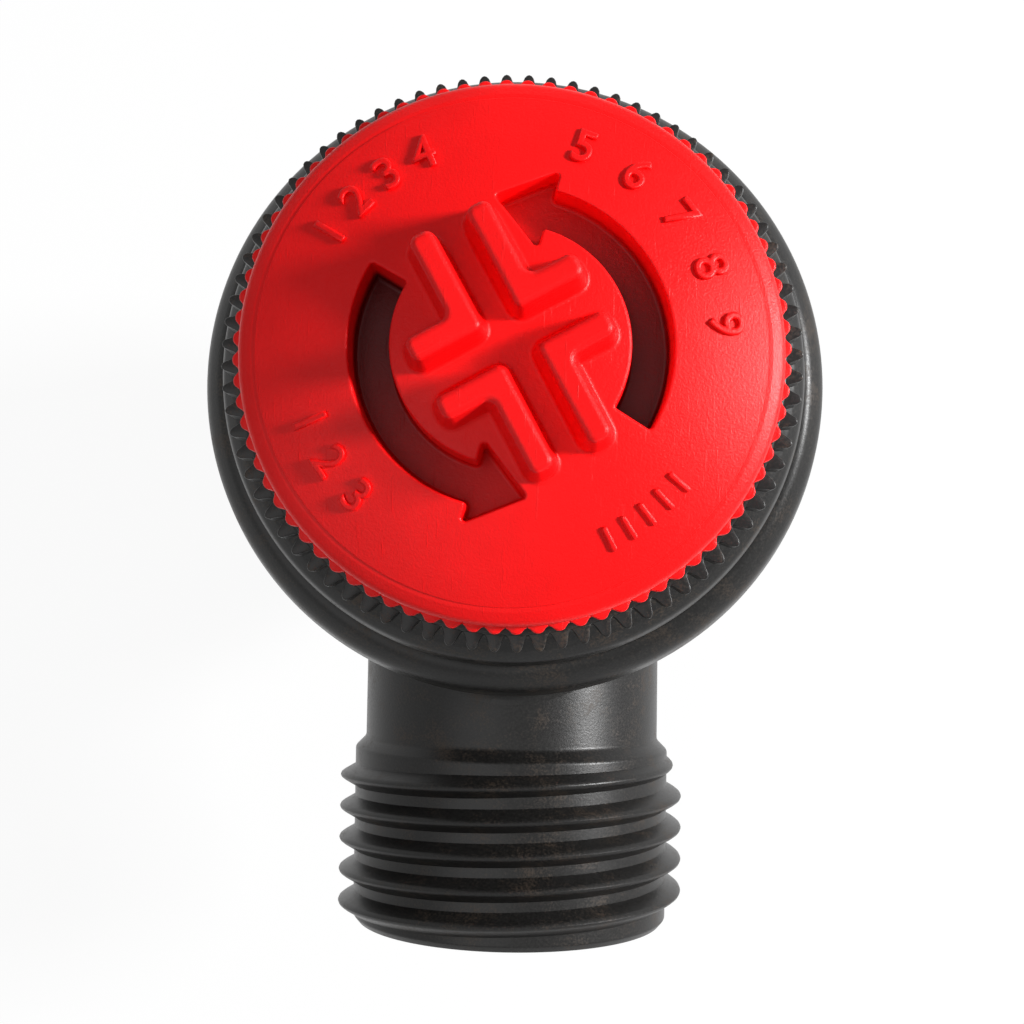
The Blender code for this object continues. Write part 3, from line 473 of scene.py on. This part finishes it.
def black_plastic(name, dust_amount):
    """Glass-filled black moulding: fine grain, faint flow marks, brownish dust in small patches."""
    finish = Finish(name, roughness=0.5, specular=0.24)
    spot = finish.place()
    cloud = finish.noise(spot, 0.5, 5.0, 0.65)
    grain = finish.noise(spot, 8.0, 4.0, 0.7)
    dusty = (cloud * 0.7 + grain * 0.5).between(0.6, 0.82) * dust_amount
    colour = finish.mix(grain.between(0.3, 0.75), (0.0055, 0.0052, 0.005), (0.015, 0.0145, 0.014))
    colour = finish.mix(dusty, colour, (0.055, 0.038, 0.026))
    rough = grain * 0.25 + dusty * 0.3 + 0.22
    relief = finish.bump(grain + cloud * 1.5, 0.015 * MM, 0.45)
    return finish.feed(Base_Color=colour, Roughness=rough, Normal=relief)


def turned_metal(name, light, dark, roughness=0.28):
    """Turned or drawn metal with fine tool marks along the valve's axis."""
    finish = Finish(name, metallic=1.0, roughness=roughness)
    spot = finish.place()
    marks = finish.noise(finish.stretch(spot, (0.3, 0.3, 14.0)), 1.0, 3.0)
    stain = finish.noise(spot, 0.5, 4.0)
    colour = finish.mix(stain.between(0.35, 0.7), light, dark)
    rough = marks * 0.2 + stain * 0.12 + roughness - 0.1
    relief = finish.bump(marks, 0.01 * MM, 0.5)
    return finish.feed(Base_Color=colour, Roughness=rough, Normal=relief)


def soft_rubber(name):
    finish = Finish(name, roughness=0.75)
    spot = finish.place()
    bloom = finish.noise(spot, 0.8, 4.0)
    grain = finish.noise(spot, 12.0, 2.0)
    colour = finish.mix(bloom.between(0.4, 0.75), (0.012, 0.012, 0.012), (0.035, 0.034, 0.032))
    rough = bloom * 0.25 + 0.6
    relief = finish.bump(grain, 0.01 * MM, 0.4)
    return finish.feed(Base_Color=colour, Roughness=rough, Normal=relief)


def pale_plastic(name, light, dark):
    finish = Finish(name, roughness=0.45)
    spot = finish.place()
    cloud = finish.noise(spot, 0.6, 4.0)
    grain = finish.noise(spot, 8.0, 3.0)
    colour = finish.mix(cloud.between(0.3, 0.7), light, dark)
    rough = grain * 0.2 + 0.35
    relief = finish.bump(grain, 0.01 * MM, 0.4)
    return finish.feed(Base_Color=colour, Roughness=rough, Normal=relief)


# Cap


def crown_z(radius):
    return FACE_EDGE_Z + FACE_CROWN * (1 - (radius / FACE_R) ** 2)


def offset(outline, distance):
    """A counter-clockwise outline moved outwards by a distance, point by point."""
    moved = []
    count = len(outline)
    for index, here in enumerate(outline):
        along = outline[(index + 1) % count] - outline[index - 1]
        outward = Vector((along.y, -along.x)).normalized()
        moved.append(here + outward * distance)
    return moved


def counter_clockwise(outline):
    area = sum(a.cross(b) for a, b in zip(outline, outline[1:] + outline[:1]))
    return outline if area > 0 else outline[::-1]


def dense(outline, spacing):
    """Adds points on long straight stretches."""
    points = []
    for here, ahead in zip(outline, outline[1:] + outline[:1]):
        parts = max(1, round((ahead - here).length / spacing))
        points += [here.lerp(ahead, part / parts) for part in range(parts)]
    return points


def inside(points, outline):
    """Which of many points lie inside an outline."""
    x, y = points[:, 0], points[:, 1]
    found = np.zeros(len(points), bool)
    for a, b in zip(outline, outline[1:] + outline[:1]):
        crosses = (a.y > y) != (b.y > y)
        rise = (b.y - a.y) or 1e-12
        found ^= crosses & (x < (b.x - a.x) * (y - a.y) / rise + a.x)
    return found


def fill(outer, holes, spacing):
    """Triangles over the region inside one outline and outside others: points and faces, flat."""
    fixed = [point for outline in [outer, *holes] for point in outline]
    edges = []
    start = 0
    for outline in [outer, *holes]:
        count = len(outline)
        edges += [(start + part, start + (part + 1) % count) for part in range(count)]
        start += count
    border = np.array([tuple(point) for point in fixed])
    low, high = border.min(0), border.max(0)
    across = np.arange(low[0], high[0], spacing)
    up = np.arange(low[1], high[1], spacing * math.sin(math.radians(60)))
    grid = np.array(
        [(x + (row % 2) * spacing / 2, y) for row, y in enumerate(up) for x in across]
    ).reshape(-1, 2)
    if len(grid):
        keep = inside(grid, outer)
        for hole in holes:
            keep &= ~inside(grid, hole)
        grid = grid[keep]
    if len(grid):
        nearest = np.sqrt(((grid[:, None, :] - border[None, :, :]) ** 2).sum(2)).min(1)
        grid = grid[nearest > 0.55 * spacing]
    everything = fixed + [Vector((float(x), float(y))) for x, y in grid]
    scaled = [point / MM for point in everything]
    points, _, faces, *_ = delaunay_2d_cdt(scaled, edges, [], 0, 1e-7)
    points = [Vector(point) * MM for point in points]
    sums = [sum((points[corner] for corner in face), Vector((0, 0))) for face in faces]
    middles = np.array([tuple(total / 3) for total in sums])
    keep = inside(middles, outer)
    for hole in holes:
        keep &= ~inside(middles, hole)
    return points, [list(face) for face, kept in zip(faces, keep) if kept]


def rib_outline(side_u, side_v):
    """Foot outline of one L-shaped rib, counter-clockwise."""
    corner_u, corner_v = RIB_CORNER
    arm_u, arm_v = corner_u + RIB_WIDTH, corner_v + RIB_WIDTH
    tight, loose = 0.42 * MM, 0.36 * MM
    corners = [
        (corner_u, corner_v, loose),
        (RIB_SHORT_END, corner_v, tight),
        (RIB_SHORT_END, arm_v, tight),
        (arm_u, arm_v, 0.4 * MM),
        (arm_u, RIB_LONG_END, tight),
        (corner_u, RIB_LONG_END, tight),
    ]
    turn = Matrix.Rotation(RIB_ANGLE, 2)
    flat = [turn @ Vector((p.x * side_u, p.y * side_v)) for p in rounded(corners)]
    return dense(counter_clockwise(flat), 0.3 * MM)


def recess_outline(turned):
    """Outline of one arrow-shaped recess, counter-clockwise."""
    arc_step = math.radians(3)
    tight = 0.16 * MM
    sweep = RECESS_HEAD - RECESS_START
    steps = round(sweep / arc_step)
    angles = [RECESS_START + sweep * part / steps for part in range(steps + 1)]
    corners = []
    for index, angle in enumerate(angles):
        spot = polar(RECESS_OUTER_R, angle)
        corners.append((spot.x, spot.y, tight if index in (0, steps) else 0))
    for radius, angle in (
        (RECESS_HEAD_R[1], RECESS_HEAD),
        (RECESS_TIP_R, RECESS_TIP),
        (RECESS_HEAD_R[0], RECESS_HEAD),
    ):
        spot = polar(radius, angle)
        corners.append((spot.x, spot.y, tight))
    for index, angle in enumerate(reversed(angles)):
        spot = polar(RECESS_INNER_R, angle)
        corners.append((spot.x, spot.y, tight if index in (0, steps) else 0))
    turn = Matrix.Rotation(turned, 2)
    return dense(counter_clockwise([turn @ point for point in rounded(corners)]), 0.3 * MM)


def recess_floor(turned):
    """Gives the height of a recess's floor, which rises from its square end to its tip."""

    def level(point):
        angle = (math.atan2(point.y, point.x) - turned) % math.tau
        share = (angle - RECESS_START) / (RECESS_TIP - RECESS_START)
        return RECESS_DEEP_Z + (RECESS_SHALLOW_Z - RECESS_DEEP_Z) * min(1.1, max(-0.1, share))

    return level


def cap_face():
    """The crowned face with its four ribs and two arrow recesses, as one surface."""
    points = []
    faces = []

    def add(patch_points, patch_faces):
        start = len(points)
        points.extend(patch_points)
        faces.extend([[start + corner for corner in face] for face in patch_faces])

    def on_crown(point):
        return Vector((point.x, point.y, crown_z(point.length)))

    def band(first, second):
        count = len(first)
        quads = [
            [part, (part + 1) % count, count + (part + 1) % count, count + part]
            for part in range(count)
        ]
        add(first + second, quads)

    def bands(rings):
        for first, second in zip(rings, rings[1:]):
            band(first, second)

    holes = []
    for side_u in (-1, 1):
        for side_v in (-1, 1):
            outline = rib_outline(side_u, side_v)
            foot_fillet = 0.22 * MM
            holes.append(offset(outline, RIB_DRAFT + foot_fillet))
            rings = [[on_crown(point) for point in holes[-1]]]
            for part in range(1, 6):
                angle = math.radians(90) * part / 5
                out = RIB_DRAFT + foot_fillet * (1 - math.sin(angle))
                lift = foot_fillet * (1 - math.cos(angle))
                ring = [on_crown(p) + Vector((0, 0, lift)) for p in offset(outline, out)]
                rings.append(ring)
            edge = 0.34 * MM
            for part in range(7):
                angle = math.radians(90) * part / 6
                out = -edge * (1 - math.cos(angle)) + 0.02 * MM
                level = RIB_TOP_Z - edge * (1 - math.sin(angle))
                rings.append([Vector((p.x, p.y, level)) for p in offset(outline, out)])
            bands(rings)
            top = [Vector((point.x, point.y)) for point in rings[-1]]
            flat, triangles = fill(top, [], 0.4 * MM)
            add([Vector((p.x, p.y, RIB_TOP_Z)) for p in flat], triangles)
    for turned in (0.0, math.pi):
        outline = recess_outline(turned)
        level = recess_floor(turned)
        lip = 0.14 * MM
        holes.append(offset(outline, lip))
        rings = []
        for part in range(5):
            angle = math.radians(90) * part / 4
            moved = offset(outline, lip * (1 - math.sin(angle)))
            sunk = Vector((0, 0, lip * (1 - math.cos(angle))))
            rings.append([on_crown(point) - sunk for point in moved])
        foot = 0.2 * MM
        for part in range(5):
            angle = math.radians(90) * part / 4
            moved = offset(outline, -foot * (1 - math.cos(angle)) - 0.05 * MM)
            rise = foot * (1 - math.sin(angle))
            rings.append([Vector((p.x, p.y, level(p) + rise)) for p in moved])
        bands(rings)
        bottom = [Vector((point.x, point.y)) for point in rings[-1]]
        flat, triangles = fill(bottom, [], 0.35 * MM)
        add([Vector((p.x, p.y, level(p))) for p in flat], triangles)
    rim = [polar(FACE_R, math.tau * part / FACE_FACETS).to_2d() for part in range(FACE_FACETS)]
    flat, triangles = fill(rim, holes, 0.3 * MM)
    add([on_crown(point) for point in flat], triangles)
    return points, faces


def cap_shell():
    """The whole cap apart from its teeth: the face above, and the skirt and hub below."""
    points, faces = cap_face()
    fillet = 0.5 * MM
    corners = [
        (FACE_R, FACE_EDGE_Z, 0),
        (FACE_R + 0.02 * MM, FACE_EDGE_Z - 0.05 * MM, 0),
        (FACE_R + 0.22 * MM, FACE_EDGE_Z - 0.1 * MM, 0.08 * MM),
        (SKIRT_R, FACE_EDGE_Z - 0.4 * MM, fillet),
        (SKIRT_R, SKIRT_BOTTOM_Z, 0.12 * MM),
        (SKIRT_INNER_R, SKIRT_BOTTOM_Z, 0.12 * MM),
        (SKIRT_INNER_R, CAP_CEILING_Z, 0.4 * MM),
        (8.6 * MM, CAP_CEILING_Z, 0.3 * MM),
        (8.2 * MM, HUB_FOOT_Z, 0.2 * MM),
        (HUB_HOLE_R, HUB_FOOT_Z, 0.1 * MM),
        (HUB_HOLE_R, HUB_STEP_Z, 0.1 * MM),
        (HUB_POCKET_R, HUB_STEP_Z, 0.1 * MM),
        (HUB_POCKET_R, HUB_POCKET_Z, 0.3 * MM),
        (0, HUB_POCKET_Z, 0),
    ]
    outline = rounded(corners, closed=False)
    start = len(points)
    for spot in outline[:-1]:
        angles = (math.tau * part / FACE_FACETS for part in range(FACE_FACETS))
        points += [polar(spot.x, angle, spot.y) for angle in angles]
    for ring in range(len(outline) - 2):
        first = start + ring * FACE_FACETS
        for part in range(FACE_FACETS):
            ahead = (part + 1) % FACE_FACETS
            second = first + FACE_FACETS
            faces.append([first + part, second + part, second + ahead, first + ahead])
    last = len(points) - FACE_FACETS
    faces.append([last + part for part in reversed(range(FACE_FACETS))])
    return new_piece("cap_shell", points, faces)


def tooth(name, valley_r, tip_r, low_z, high_z):
    """One V tooth with a blunt tip and softened ends, at the origin."""
    depth = tip_r - valley_r
    half = valley_r * math.tan(math.pi / TOOTH_COUNT)
    soft = 0.1 * MM
    side = ((0.0, 0.95), (0.18, 0.76), (0.5, 0.58), (0.8, 0.42), (0.95, 0.22))

    def section(z, shrink):
        reach = depth - shrink
        width = half - 0.4 * shrink
        lower = [Vector((reach * out, -width * wide, z)) for out, wide in side]
        upper = [Vector((p.x, -p.y, z)) for p in reversed(lower)]
        sunk = -0.3 * MM
        return [
            Vector((sunk, -width, z)),
            *lower,
            Vector((reach, 0, z)),
            *upper,
            Vector((sunk, width, z)),
        ]

    levels = [(low_z, soft * 0.5), (low_z + soft * 0.5, 0.0)]
    for part in range(4):
        angle = math.radians(90) * part / 3
        levels.append((high_z - soft * (1 - math.sin(angle)), soft * (1 - math.cos(angle))))
    return loft(name, [section(z, shrink) for z, shrink in levels])


def cap_marks(finish):
    """Plain raised ticks and numerals on the cap's face."""
    pieces = []
    for index, (figure, degrees, inward) in enumerate(
        (
            ("1", 148, False),
            ("2", 137, False),
            ("3", 126, False),
            ("4", 115, False),
            ("5", 71, False),
            ("6", 55, False),
            ("7", 39, False),
            ("8", 23, False),
            ("9", 7, False),
            ("1", 201, True),
            ("2", 213, True),
            ("3", 225, True),
        )
    ):
        pieces.append(numeral(f"numeral_{index + 1}", figure, math.radians(degrees), inward))
    pieces.append(arc_row(tick(), TICK_COUNT, MARK_R, TICK_FIRST, TICK_STEP, finish))
    return join("cap_marks", pieces)


def tick():
    """A short raised bar that follows the face's slope, at the origin."""
    slope = -2 * FACE_CROWN * MARK_R / FACE_R**2
    half, thick = TICK_LENGTH / 2, 0.14 * MM
    bar = [(-half, -thick), (half, -thick), (half, thick), (-half, thick)]
    outline = counter_clockwise(rounded([(x, y, 0.13 * MM) for x, y in bar]))
    sections = []
    for lift, shrink in ((-0.2, 0.0), (0.08, 0.0), (0.13, 0.02), (0.16, 0.06)):
        ring = offset(outline, -shrink * MM)
        level = crown_z(MARK_R) + lift * MM
        sections.append([Vector((p.x, p.y, level + slope * p.x)) for p in ring])
    return loft("ticks_low", sections)


def numeral(name, figure, angle, inward):
    """A raised figure on the crowned face, its top towards the cap's edge or its middle."""
    text = bpy.data.curves.new(name, "FONT")
    text.body = figure
    text.size = 2.2 * MM
    text.extrude = 0.1 * MM
    text.offset = -0.05 * MM
    text.bevel_depth = 0.1 * MM
    text.bevel_resolution = 3
    text.resolution_u = 4
    text.align_x = "CENTER"
    text.align_y = "CENTER"
    holder = bpy.data.objects.new(name, text)
    bpy.context.scene.collection.objects.link(holder)
    evaluated = holder.evaluated_get(bpy.context.evaluated_depsgraph_get())
    mesh = bpy.data.meshes.new_from_object(evaluated)
    bpy.data.objects.remove(holder)
    side = -1 if inward else 1
    for vertex in mesh.vertices:
        spot = polar(MARK_R + side * vertex.co.y, angle - side * vertex.co.x / MARK_R)
        vertex.co = (spot.x, spot.y, crown_z(spot.length) + vertex.co.z)
    piece = bpy.data.objects.new(name, mesh)
    bpy.context.scene.collection.objects.link(piece)
    return piece


def arc_block(name, radii, span, low_z, high_z):
    """A softened block along an arc from +X. Its levels are functions of the angle."""
    soft = 0.12 * MM
    steps = max(2, round(math.degrees(span) / 3))
    sections = []
    for step in range(steps + 1):
        angle = span * step / steps
        low, high = low_z(angle), high_z(angle)
        corners = [
            (radii[0], low, 0),
            (radii[1], low, 0),
            (radii[1], high, soft),
            (radii[0], high, soft),
        ]
        sections.append([polar(p.x, angle, p.y) for p in rounded(corners, step=math.radians(30))])
    return loft(name, sections)


def lifting_lugs(finish):
    """Four lugs under the cap's face that stand on the bonnet's ramps."""
    start = math.radians(1.5)
    radii = (RAMP_R[0] + 0.1 * MM, RAMP_R[1] - 0.1 * MM)
    lug = arc_block(
        "lifting_lugs",
        radii,
        math.radians(12),
        lambda angle: -(CAP_CEILING_Z + 0.3 * MM),
        lambda angle: -(RAMP_PLATE_Z + 0.6 * MM + RISE_PER_RADIAN * (start + angle)),
    )
    for vertex in lug.data.vertices:
        vertex.co.z = -vertex.co.z
    lug.data.flip_normals()
    return arc_row(lug, 4, 0.0, RAMP_START + start, math.radians(90), finish)


def lifting_ramps(finish):
    """Four ramps in the bonnet's top that the cap's lugs climb."""
    ramp = arc_block(
        "lifting_ramps",
        RAMP_R,
        RAMP_SPAN,
        lambda angle: RAMP_PLATE_Z - 0.3 * MM,
        lambda angle: RAMP_PLATE_Z + 0.3 * MM + RISE_PER_RADIAN * angle,
    )
    return arc_row(ramp, 4, 0.0, RAMP_START, math.radians(90), finish)


# Bonnet


def bonnet_shell():
    corners = [
        (9.9, 39.2, 0.2),
        (13.9, 39.2, 0.2),
        (13.9, 40.9, 0.2),
        (14.2, 41.4, 0.4),
        (14.35, 42.1, 0.9),
        (14.15, 42.9, 0.8),
        (13.6, 43.45, 0.7),
        (12.79, 44.0, 0.5),
        (12.74, 46.4, 0.14),
        (11.6, 46.4, 0.15),
        (11.4, 45.2, 0.3),
        (8.4, 45.2, 0.3),
        (8.4, 46.4, 0.15),
        (6.7, 46.4, 0.15),
        (6.7, 44.0, 0.1),
        (9.9, 44.0, 0.8),
    ]
    outline = rounded([(r * MM, z * MM, fillet * MM) for r, z, fillet in corners])
    return lathe("bonnet_shell", outline, 240)


# Body


BODY_OUTLINE = rounded(
    [
        (r * MM, z * MM, fillet * MM)
        for r, z, fillet in (
            (5.0, 0, 0.3),
            (7.75, 0, 0.9),
            (7.75, 2.8, 0.12),
            (6.4, 2.8, 0.15),
            (6.4, 4.8, 0.15),
            (7.75, 4.8, 0.12),
            (7.75, 6.8, 0.12),
            (6.4, 6.8, 0.15),
            (6.4, 8.8, 0.15),
            (7.75, 8.8, 0.12),
            (7.75, 11.2, 0.2),
            (9.6, 11.2, 0.25),
            (9.6, 13.4, 0.25),
            (8.6, 13.4, 0.2),
            (8.6, 15.4, 0.2),
            (12.8, 15.4, 1.1),
            (12.8, 32.2, 1.6),
            (13.6, 33.6, 1.2),
            (15.5, 34.8, 1.2),
            (16.1, 36.2, 1.3),
            (16.1, 37.4, 1.5),
            (15.8, 39.2, 1.5),
            (14.9, 40.1, 0.9),
            (14.2, 40.1, 0.25),
            (14.2, 36.5, 0.15),
            (10.8, 36.5, 0.4),
            (10.8, 17.5, 0.6),
            (6.5, 17.5, 0.15),
            (6.5, 11.9, 0.1),
            (5.0, 11.9, 0.2),
        )
    ]
)


def neck_tube():
    """The outlet's tube. Its inner end follows the curved wall that it grows out of."""
    corners = [
        (6.75, 0, 0),
        (8.6, 0, 0),
        (8.6, 19.2, 0.4),
        (9.2, 19.8, 0.3),
        (9.15, 29.45, 0.2),
        (8.85, 29.8, 0.15),
        (7.25, 29.8, 0.15),
        (6.75, 29.3, 0.3),
    ]
    outline = rounded([(r * MM, d * MM, fillet * MM) for r, d, fillet in corners])
    tube = lathe("neck_tube", outline, 144)
    wall_middle_r = 11.8 * MM
    for vertex in tube.data.vertices:
        if vertex.co.z < 1e-6:
            vertex.co.z = math.sqrt(wall_middle_r**2 - vertex.co.x**2)
    return along_outlet(tube)


def outlet_thread():
    """The thread's right-handed V ridge, which fades in and out at its ends."""
    per_turn = 120
    fade_in_turns, fade_out_turns = 0.95, 0.14
    steps = round(THREAD_TURNS * per_turn)
    root_r = NECK_R - 0.3 * MM
    least_r = root_r + 0.1 * MM
    sections = []
    for step in range(steps + 1):
        turn = step / per_turn
        grown = min(1.0, turn / fade_in_turns, (THREAD_TURNS - turn) / fade_out_turns)
        crest_r = least_r + (THREAD_CREST_R - least_r) * max(0.0, grown)
        angle = THREAD_START_ANGLE + math.tau * turn
        middle = THREAD_START + THREAD_PITCH * turn
        section = []
        for along, height in THREAD_SECTION:
            radius = root_r + (crest_r - root_r) * height
            reach = min(middle + along * THREAD_PITCH, THREAD_LIMIT)
            section.append(polar(radius, angle, reach))
        sections.append(section)
    return along_outlet(loft("outlet_thread", sections))


def distance_to_body(point):
    """How far a point lies outside the body's turned outline, and the outline's nearest point."""
    spot = Vector((math.hypot(point.x, point.y), point.z))
    nearest, foot = 1.0, None
    for a, b in zip(OUTER_SIDE, OUTER_SIDE[1:]):
        edge = b - a
        share = max(0.0, min(1.0, (spot - a).dot(edge) / edge.length_squared))
        closest = a + edge * share
        gap = (spot - closest).length
        if gap < nearest:
            nearest, foot = gap, closest
    beyond = inside(np.array([tuple(spot)]), OUTER_SOLID)[0]
    return (-nearest if beyond else nearest), foot


OUTER_SIDE = [p for p in BODY_OUTLINE if p.x > 11.0 * MM and 15.3 * MM < p.y < 37.5 * MM]
OUTER_SOLID = [Vector((0, 15.3 * MM)), *OUTER_SIDE, Vector((0, 37.5 * MM))]


def junction_fillet():
    """The concave bead that blends the neck into the body, as one closed ring of sections."""
    ball = 0.9 * MM
    sections = []
    for part in range(96):
        angle = math.tau * part / 96
        x = (NECK_R + ball) * math.cos(angle)
        z = OUTLET_AXIS_Z + (NECK_R + ball) * math.sin(angle)
        near, far = -3 * MM, -20 * MM
        for _ in range(30):
            y = (near + far) / 2
            gap = distance_to_body(Vector((x, y, z)))[0]
            if gap > ball:
                far = y
            else:
                near = y
        centre = Vector((x, y, z))
        foot = distance_to_body(centre)[1]
        around = Vector((centre.x, centre.y, 0)).normalized()
        on_body = around * foot.x + Vector((0, 0, foot.y))
        on_neck = Vector((NECK_R * math.cos(angle), y, OUTLET_AXIS_Z + NECK_R * math.sin(angle)))
        first, last = (on_body - centre).normalized(), (on_neck - centre).normalized()
        section = [centre + first.slerp(last, share / 6) * ball for share in range(7)]
        chord_middle = (on_body + on_neck) / 2
        buried = chord_middle + (chord_middle - centre).normalized() * 0.8 * MM
        sections.append([*section, buried])
    return loft("junction_fillet", sections, closed=True)


def body_shell():
    shell = lathe("valve_body_shell", BODY_OUTLINE, 192)
    bore = lathe(
        "bore",
        [Vector((r * MM, d * MM)) for r, d in ((0, 4), (6.9, 4), (6.9, 12.5), (0, 12.5))],
        96,
    )
    cut(shell, along_outlet(bore))
    return join("valve_body_shell", [shell, neck_tube(), outlet_thread(), junction_fillet()])


def o_ring(name, middle_z):
    middle_r, wire_r = 7.4 * MM, 0.7 * MM
    section = [
        Vector((middle_r + wire_r * math.cos(angle), middle_z + wire_r * math.sin(angle)))
        for angle in (math.tau * part / 24 for part in range(24))
    ]
    return lathe(name, section, 128)


# Setting


FLOOR_GLOW = 0.93
ROOM_GLOW = 0.2


def lay_floor():
    bpy.ops.mesh.primitive_plane_add(size=3.0, location=(0, 0, -0.2 * MM))
    floor = bpy.context.object
    floor.name = "floor"
    material = bpy.data.materials.new("pale_floor")
    material.use_nodes = True
    nodes, links = material.node_tree.nodes, material.node_tree.links
    shader = nodes["Principled BSDF"]
    shader.inputs["Base Color"].default_value = (0.9, 0.9, 0.9, 1)
    shader.inputs["Roughness"].default_value = 0.9
    glow = nodes.new("ShaderNodeEmission")
    blend = nodes.new("ShaderNodeMixShader")
    rays = nodes.new("ShaderNodeLightPath")
    seen = nodes.new("ShaderNodeMath")
    seen.operation = "MULTIPLY"
    seen.inputs[1].default_value = FLOOR_GLOW
    links.new(clear_path(nodes, links, rays), seen.inputs[0])
    links.new(seen.outputs[0], blend.inputs[0])
    links.new(shader.outputs[0], blend.inputs[1])
    links.new(glow.outputs[0], blend.inputs[2])
    links.new(blend.outputs[0], nodes["Material Output"].inputs[0])
    floor.data.materials.append(material)


def clear_path(nodes, links, rays):
    """1 for a ray that comes from the camera, from a reflection or through glass, and else 0."""
    share = rays.outputs["Is Camera Ray"]
    for kind in ("Is Glossy Ray", "Is Transmission Ray"):
        either = nodes.new("ShaderNodeMath")
        either.operation = "MAXIMUM"
        links.new(share, either.inputs[0])
        links.new(rays.outputs[kind], either.inputs[1])
        share = either.outputs[0]
    return share


def light_room():
    world = bpy.data.worlds.new("room")
    bpy.context.scene.world = world
    world.use_nodes = True
    nodes, links = world.node_tree.nodes, world.node_tree.links
    nodes.clear()
    dim = nodes.new("ShaderNodeBackground")
    dim.inputs[0].default_value = (1, 1, 1, 1)
    dim.inputs[1].default_value = ROOM_GLOW
    white = nodes.new("ShaderNodeBackground")
    white.inputs[0].default_value = (1, 1, 1, 1)
    white.inputs[1].default_value = 1.0
    rays = nodes.new("ShaderNodeLightPath")
    blend = nodes.new("ShaderNodeMixShader")
    out = nodes.new("ShaderNodeOutputWorld")
    links.new(clear_path(nodes, links, rays), blend.inputs[0])
    links.new(dim.outputs[0], blend.inputs[1])
    links.new(white.outputs[0], blend.inputs[2])
    links.new(blend.outputs[0], out.inputs[0])
    add_lamp("key_light", (0.33, 0.05, 0.2), 0.07, 2.6)
    add_lamp("fill_light", (-0.15, -0.1, 0.38), 0.3, 0.3)


def add_lamp(name, place, size, watts):
    """A square lamp that points at the upper part of the valve."""
    lamp = bpy.data.lights.new(name, "AREA")
    lamp.size = size
    lamp.energy = watts
    holder = bpy.data.objects.new(name, lamp)
    holder.location = place
    aim = Vector((0, 0, 0.035)) - Vector(place)
    holder.rotation_euler = aim.to_track_quat("-Z", "Y").to_euler()
    bpy.context.scene.collection.objects.link(holder)


def set_camera():
    camera = bpy.data.cameras.new("camera")
    camera.lens = FOCAL_LENGTH_MM
    camera.sensor_width = SENSOR_MM
    camera.clip_start = 0.005
    holder = bpy.data.objects.new("camera", camera)
    holder.matrix_world = (
        Matrix.Translation(CAMERA_PLACE)
        @ Matrix.Rotation(CAMERA_TURN[0], 4, "X")
        @ Matrix.Rotation(CAMERA_TURN[1], 4, "Y")
        @ Matrix.Rotation(CAMERA_TURN[2], 4, "Z")
    )
    bpy.context.scene.collection.objects.link(holder)
    bpy.context.scene.camera = holder


def dress(piece, finish, body, slot, *nodes):
    """Finishes a piece, lets it ride on a body and stand for CAD nodes."""
    piece.data.materials.clear()
    piece.data.materials.append(finish)
    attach(piece, body)
    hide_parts(*nodes)
    return piece


def main():
    bpy.context.scene.view_settings.view_transform = "Standard"
    set_camera()
    light_room()
    lay_floor()

    red = red_plastic()
    body_black = black_plastic("body_plastic", 0.5)
    bonnet_black = black_plastic("bonnet_plastic", 0.8)
    rubber = soft_rubber("o_ring_rubber")

    step = math.tau / TOOTH_COUNT
    first = step / 2 + TOOTH_SHIFT
    cap_tooth = tooth("cap_teeth", TOOTH_VALLEY_R, TOOTH_TIP_R, SKIRT_BOTTOM_Z, TOOTH_TOP_Z)
    teeth = arc_row(cap_tooth, TOOTH_COUNT, TOOTH_VALLEY_R, first, step, red)
    cap = join("cap_shell", [cap_shell(), teeth, lifting_lugs(red)])
    dress(cap, red, "cap_group", "cap", "cap")
    dress(cap_marks(red), red, "cap_group", "cap", "cap")

    knurl_top_z = COLLAR_TOP_Z - 0.1 * MM
    collar_tooth = tooth(
        "bonnet_knurl", COLLAR_VALLEY_R, COLLAR_TIP_R, COLLAR_LOW_Z, knurl_top_z
    )
    knurl = arc_row(collar_tooth, TOOTH_COUNT, COLLAR_VALLEY_R, first, step, bonnet_black)
    bonnet = join("bonnet_shell", [bonnet_shell(), knurl, lifting_ramps(bonnet_black)])
    dress(bonnet, bonnet_black, "housing", "bonnet", "bonnet")
    dress(body_shell(), body_black, "housing", "body", "valve_body")
    for name, middle_z in (("inlet_o_ring_lower", 3.8 * MM), ("inlet_o_ring_upper", 7.8 * MM)):
        dress(o_ring(name + "_smooth", middle_z), rubber, "housing", "rubber", name)

    steel = turned_metal("stainless_steel", (0.62, 0.62, 0.61), (0.48, 0.48, 0.47))
    brass = turned_metal("turned_brass", (0.78, 0.56, 0.25), (0.6, 0.4, 0.17))
    inner = {
        "seat_insert": brass,
        "stem": brass,
        "stem_nut": brass,
        "upper_spring_plate": steel,
        "spring": steel,
        "diaphragm_plate": steel,
        "seal_washer": steel,
        "nut_washer": steel,
        "seal_screw": steel,
        "cap_retaining_ring": steel,
        "diaphragm": soft_rubber("diaphragm_rubber"),
        "seat_seal": soft_rubber("seal_rubber"),
        "slip_washer": pale_plastic("slip_plastic", (0.75, 0.73, 0.68), (0.62, 0.6, 0.55)),
        "disc_holder": pale_plastic("holder_plastic", (0.05, 0.05, 0.05), (0.03, 0.03, 0.03)),
        "adjusting_nut": pale_plastic("nut_plastic", (0.022, 0.022, 0.022), (0.035, 0.034, 0.033)),
    }
    for name, finish in inner.items():
        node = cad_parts[name]
        node.data.materials.clear()
        node.data.materials.append(finish)


main()
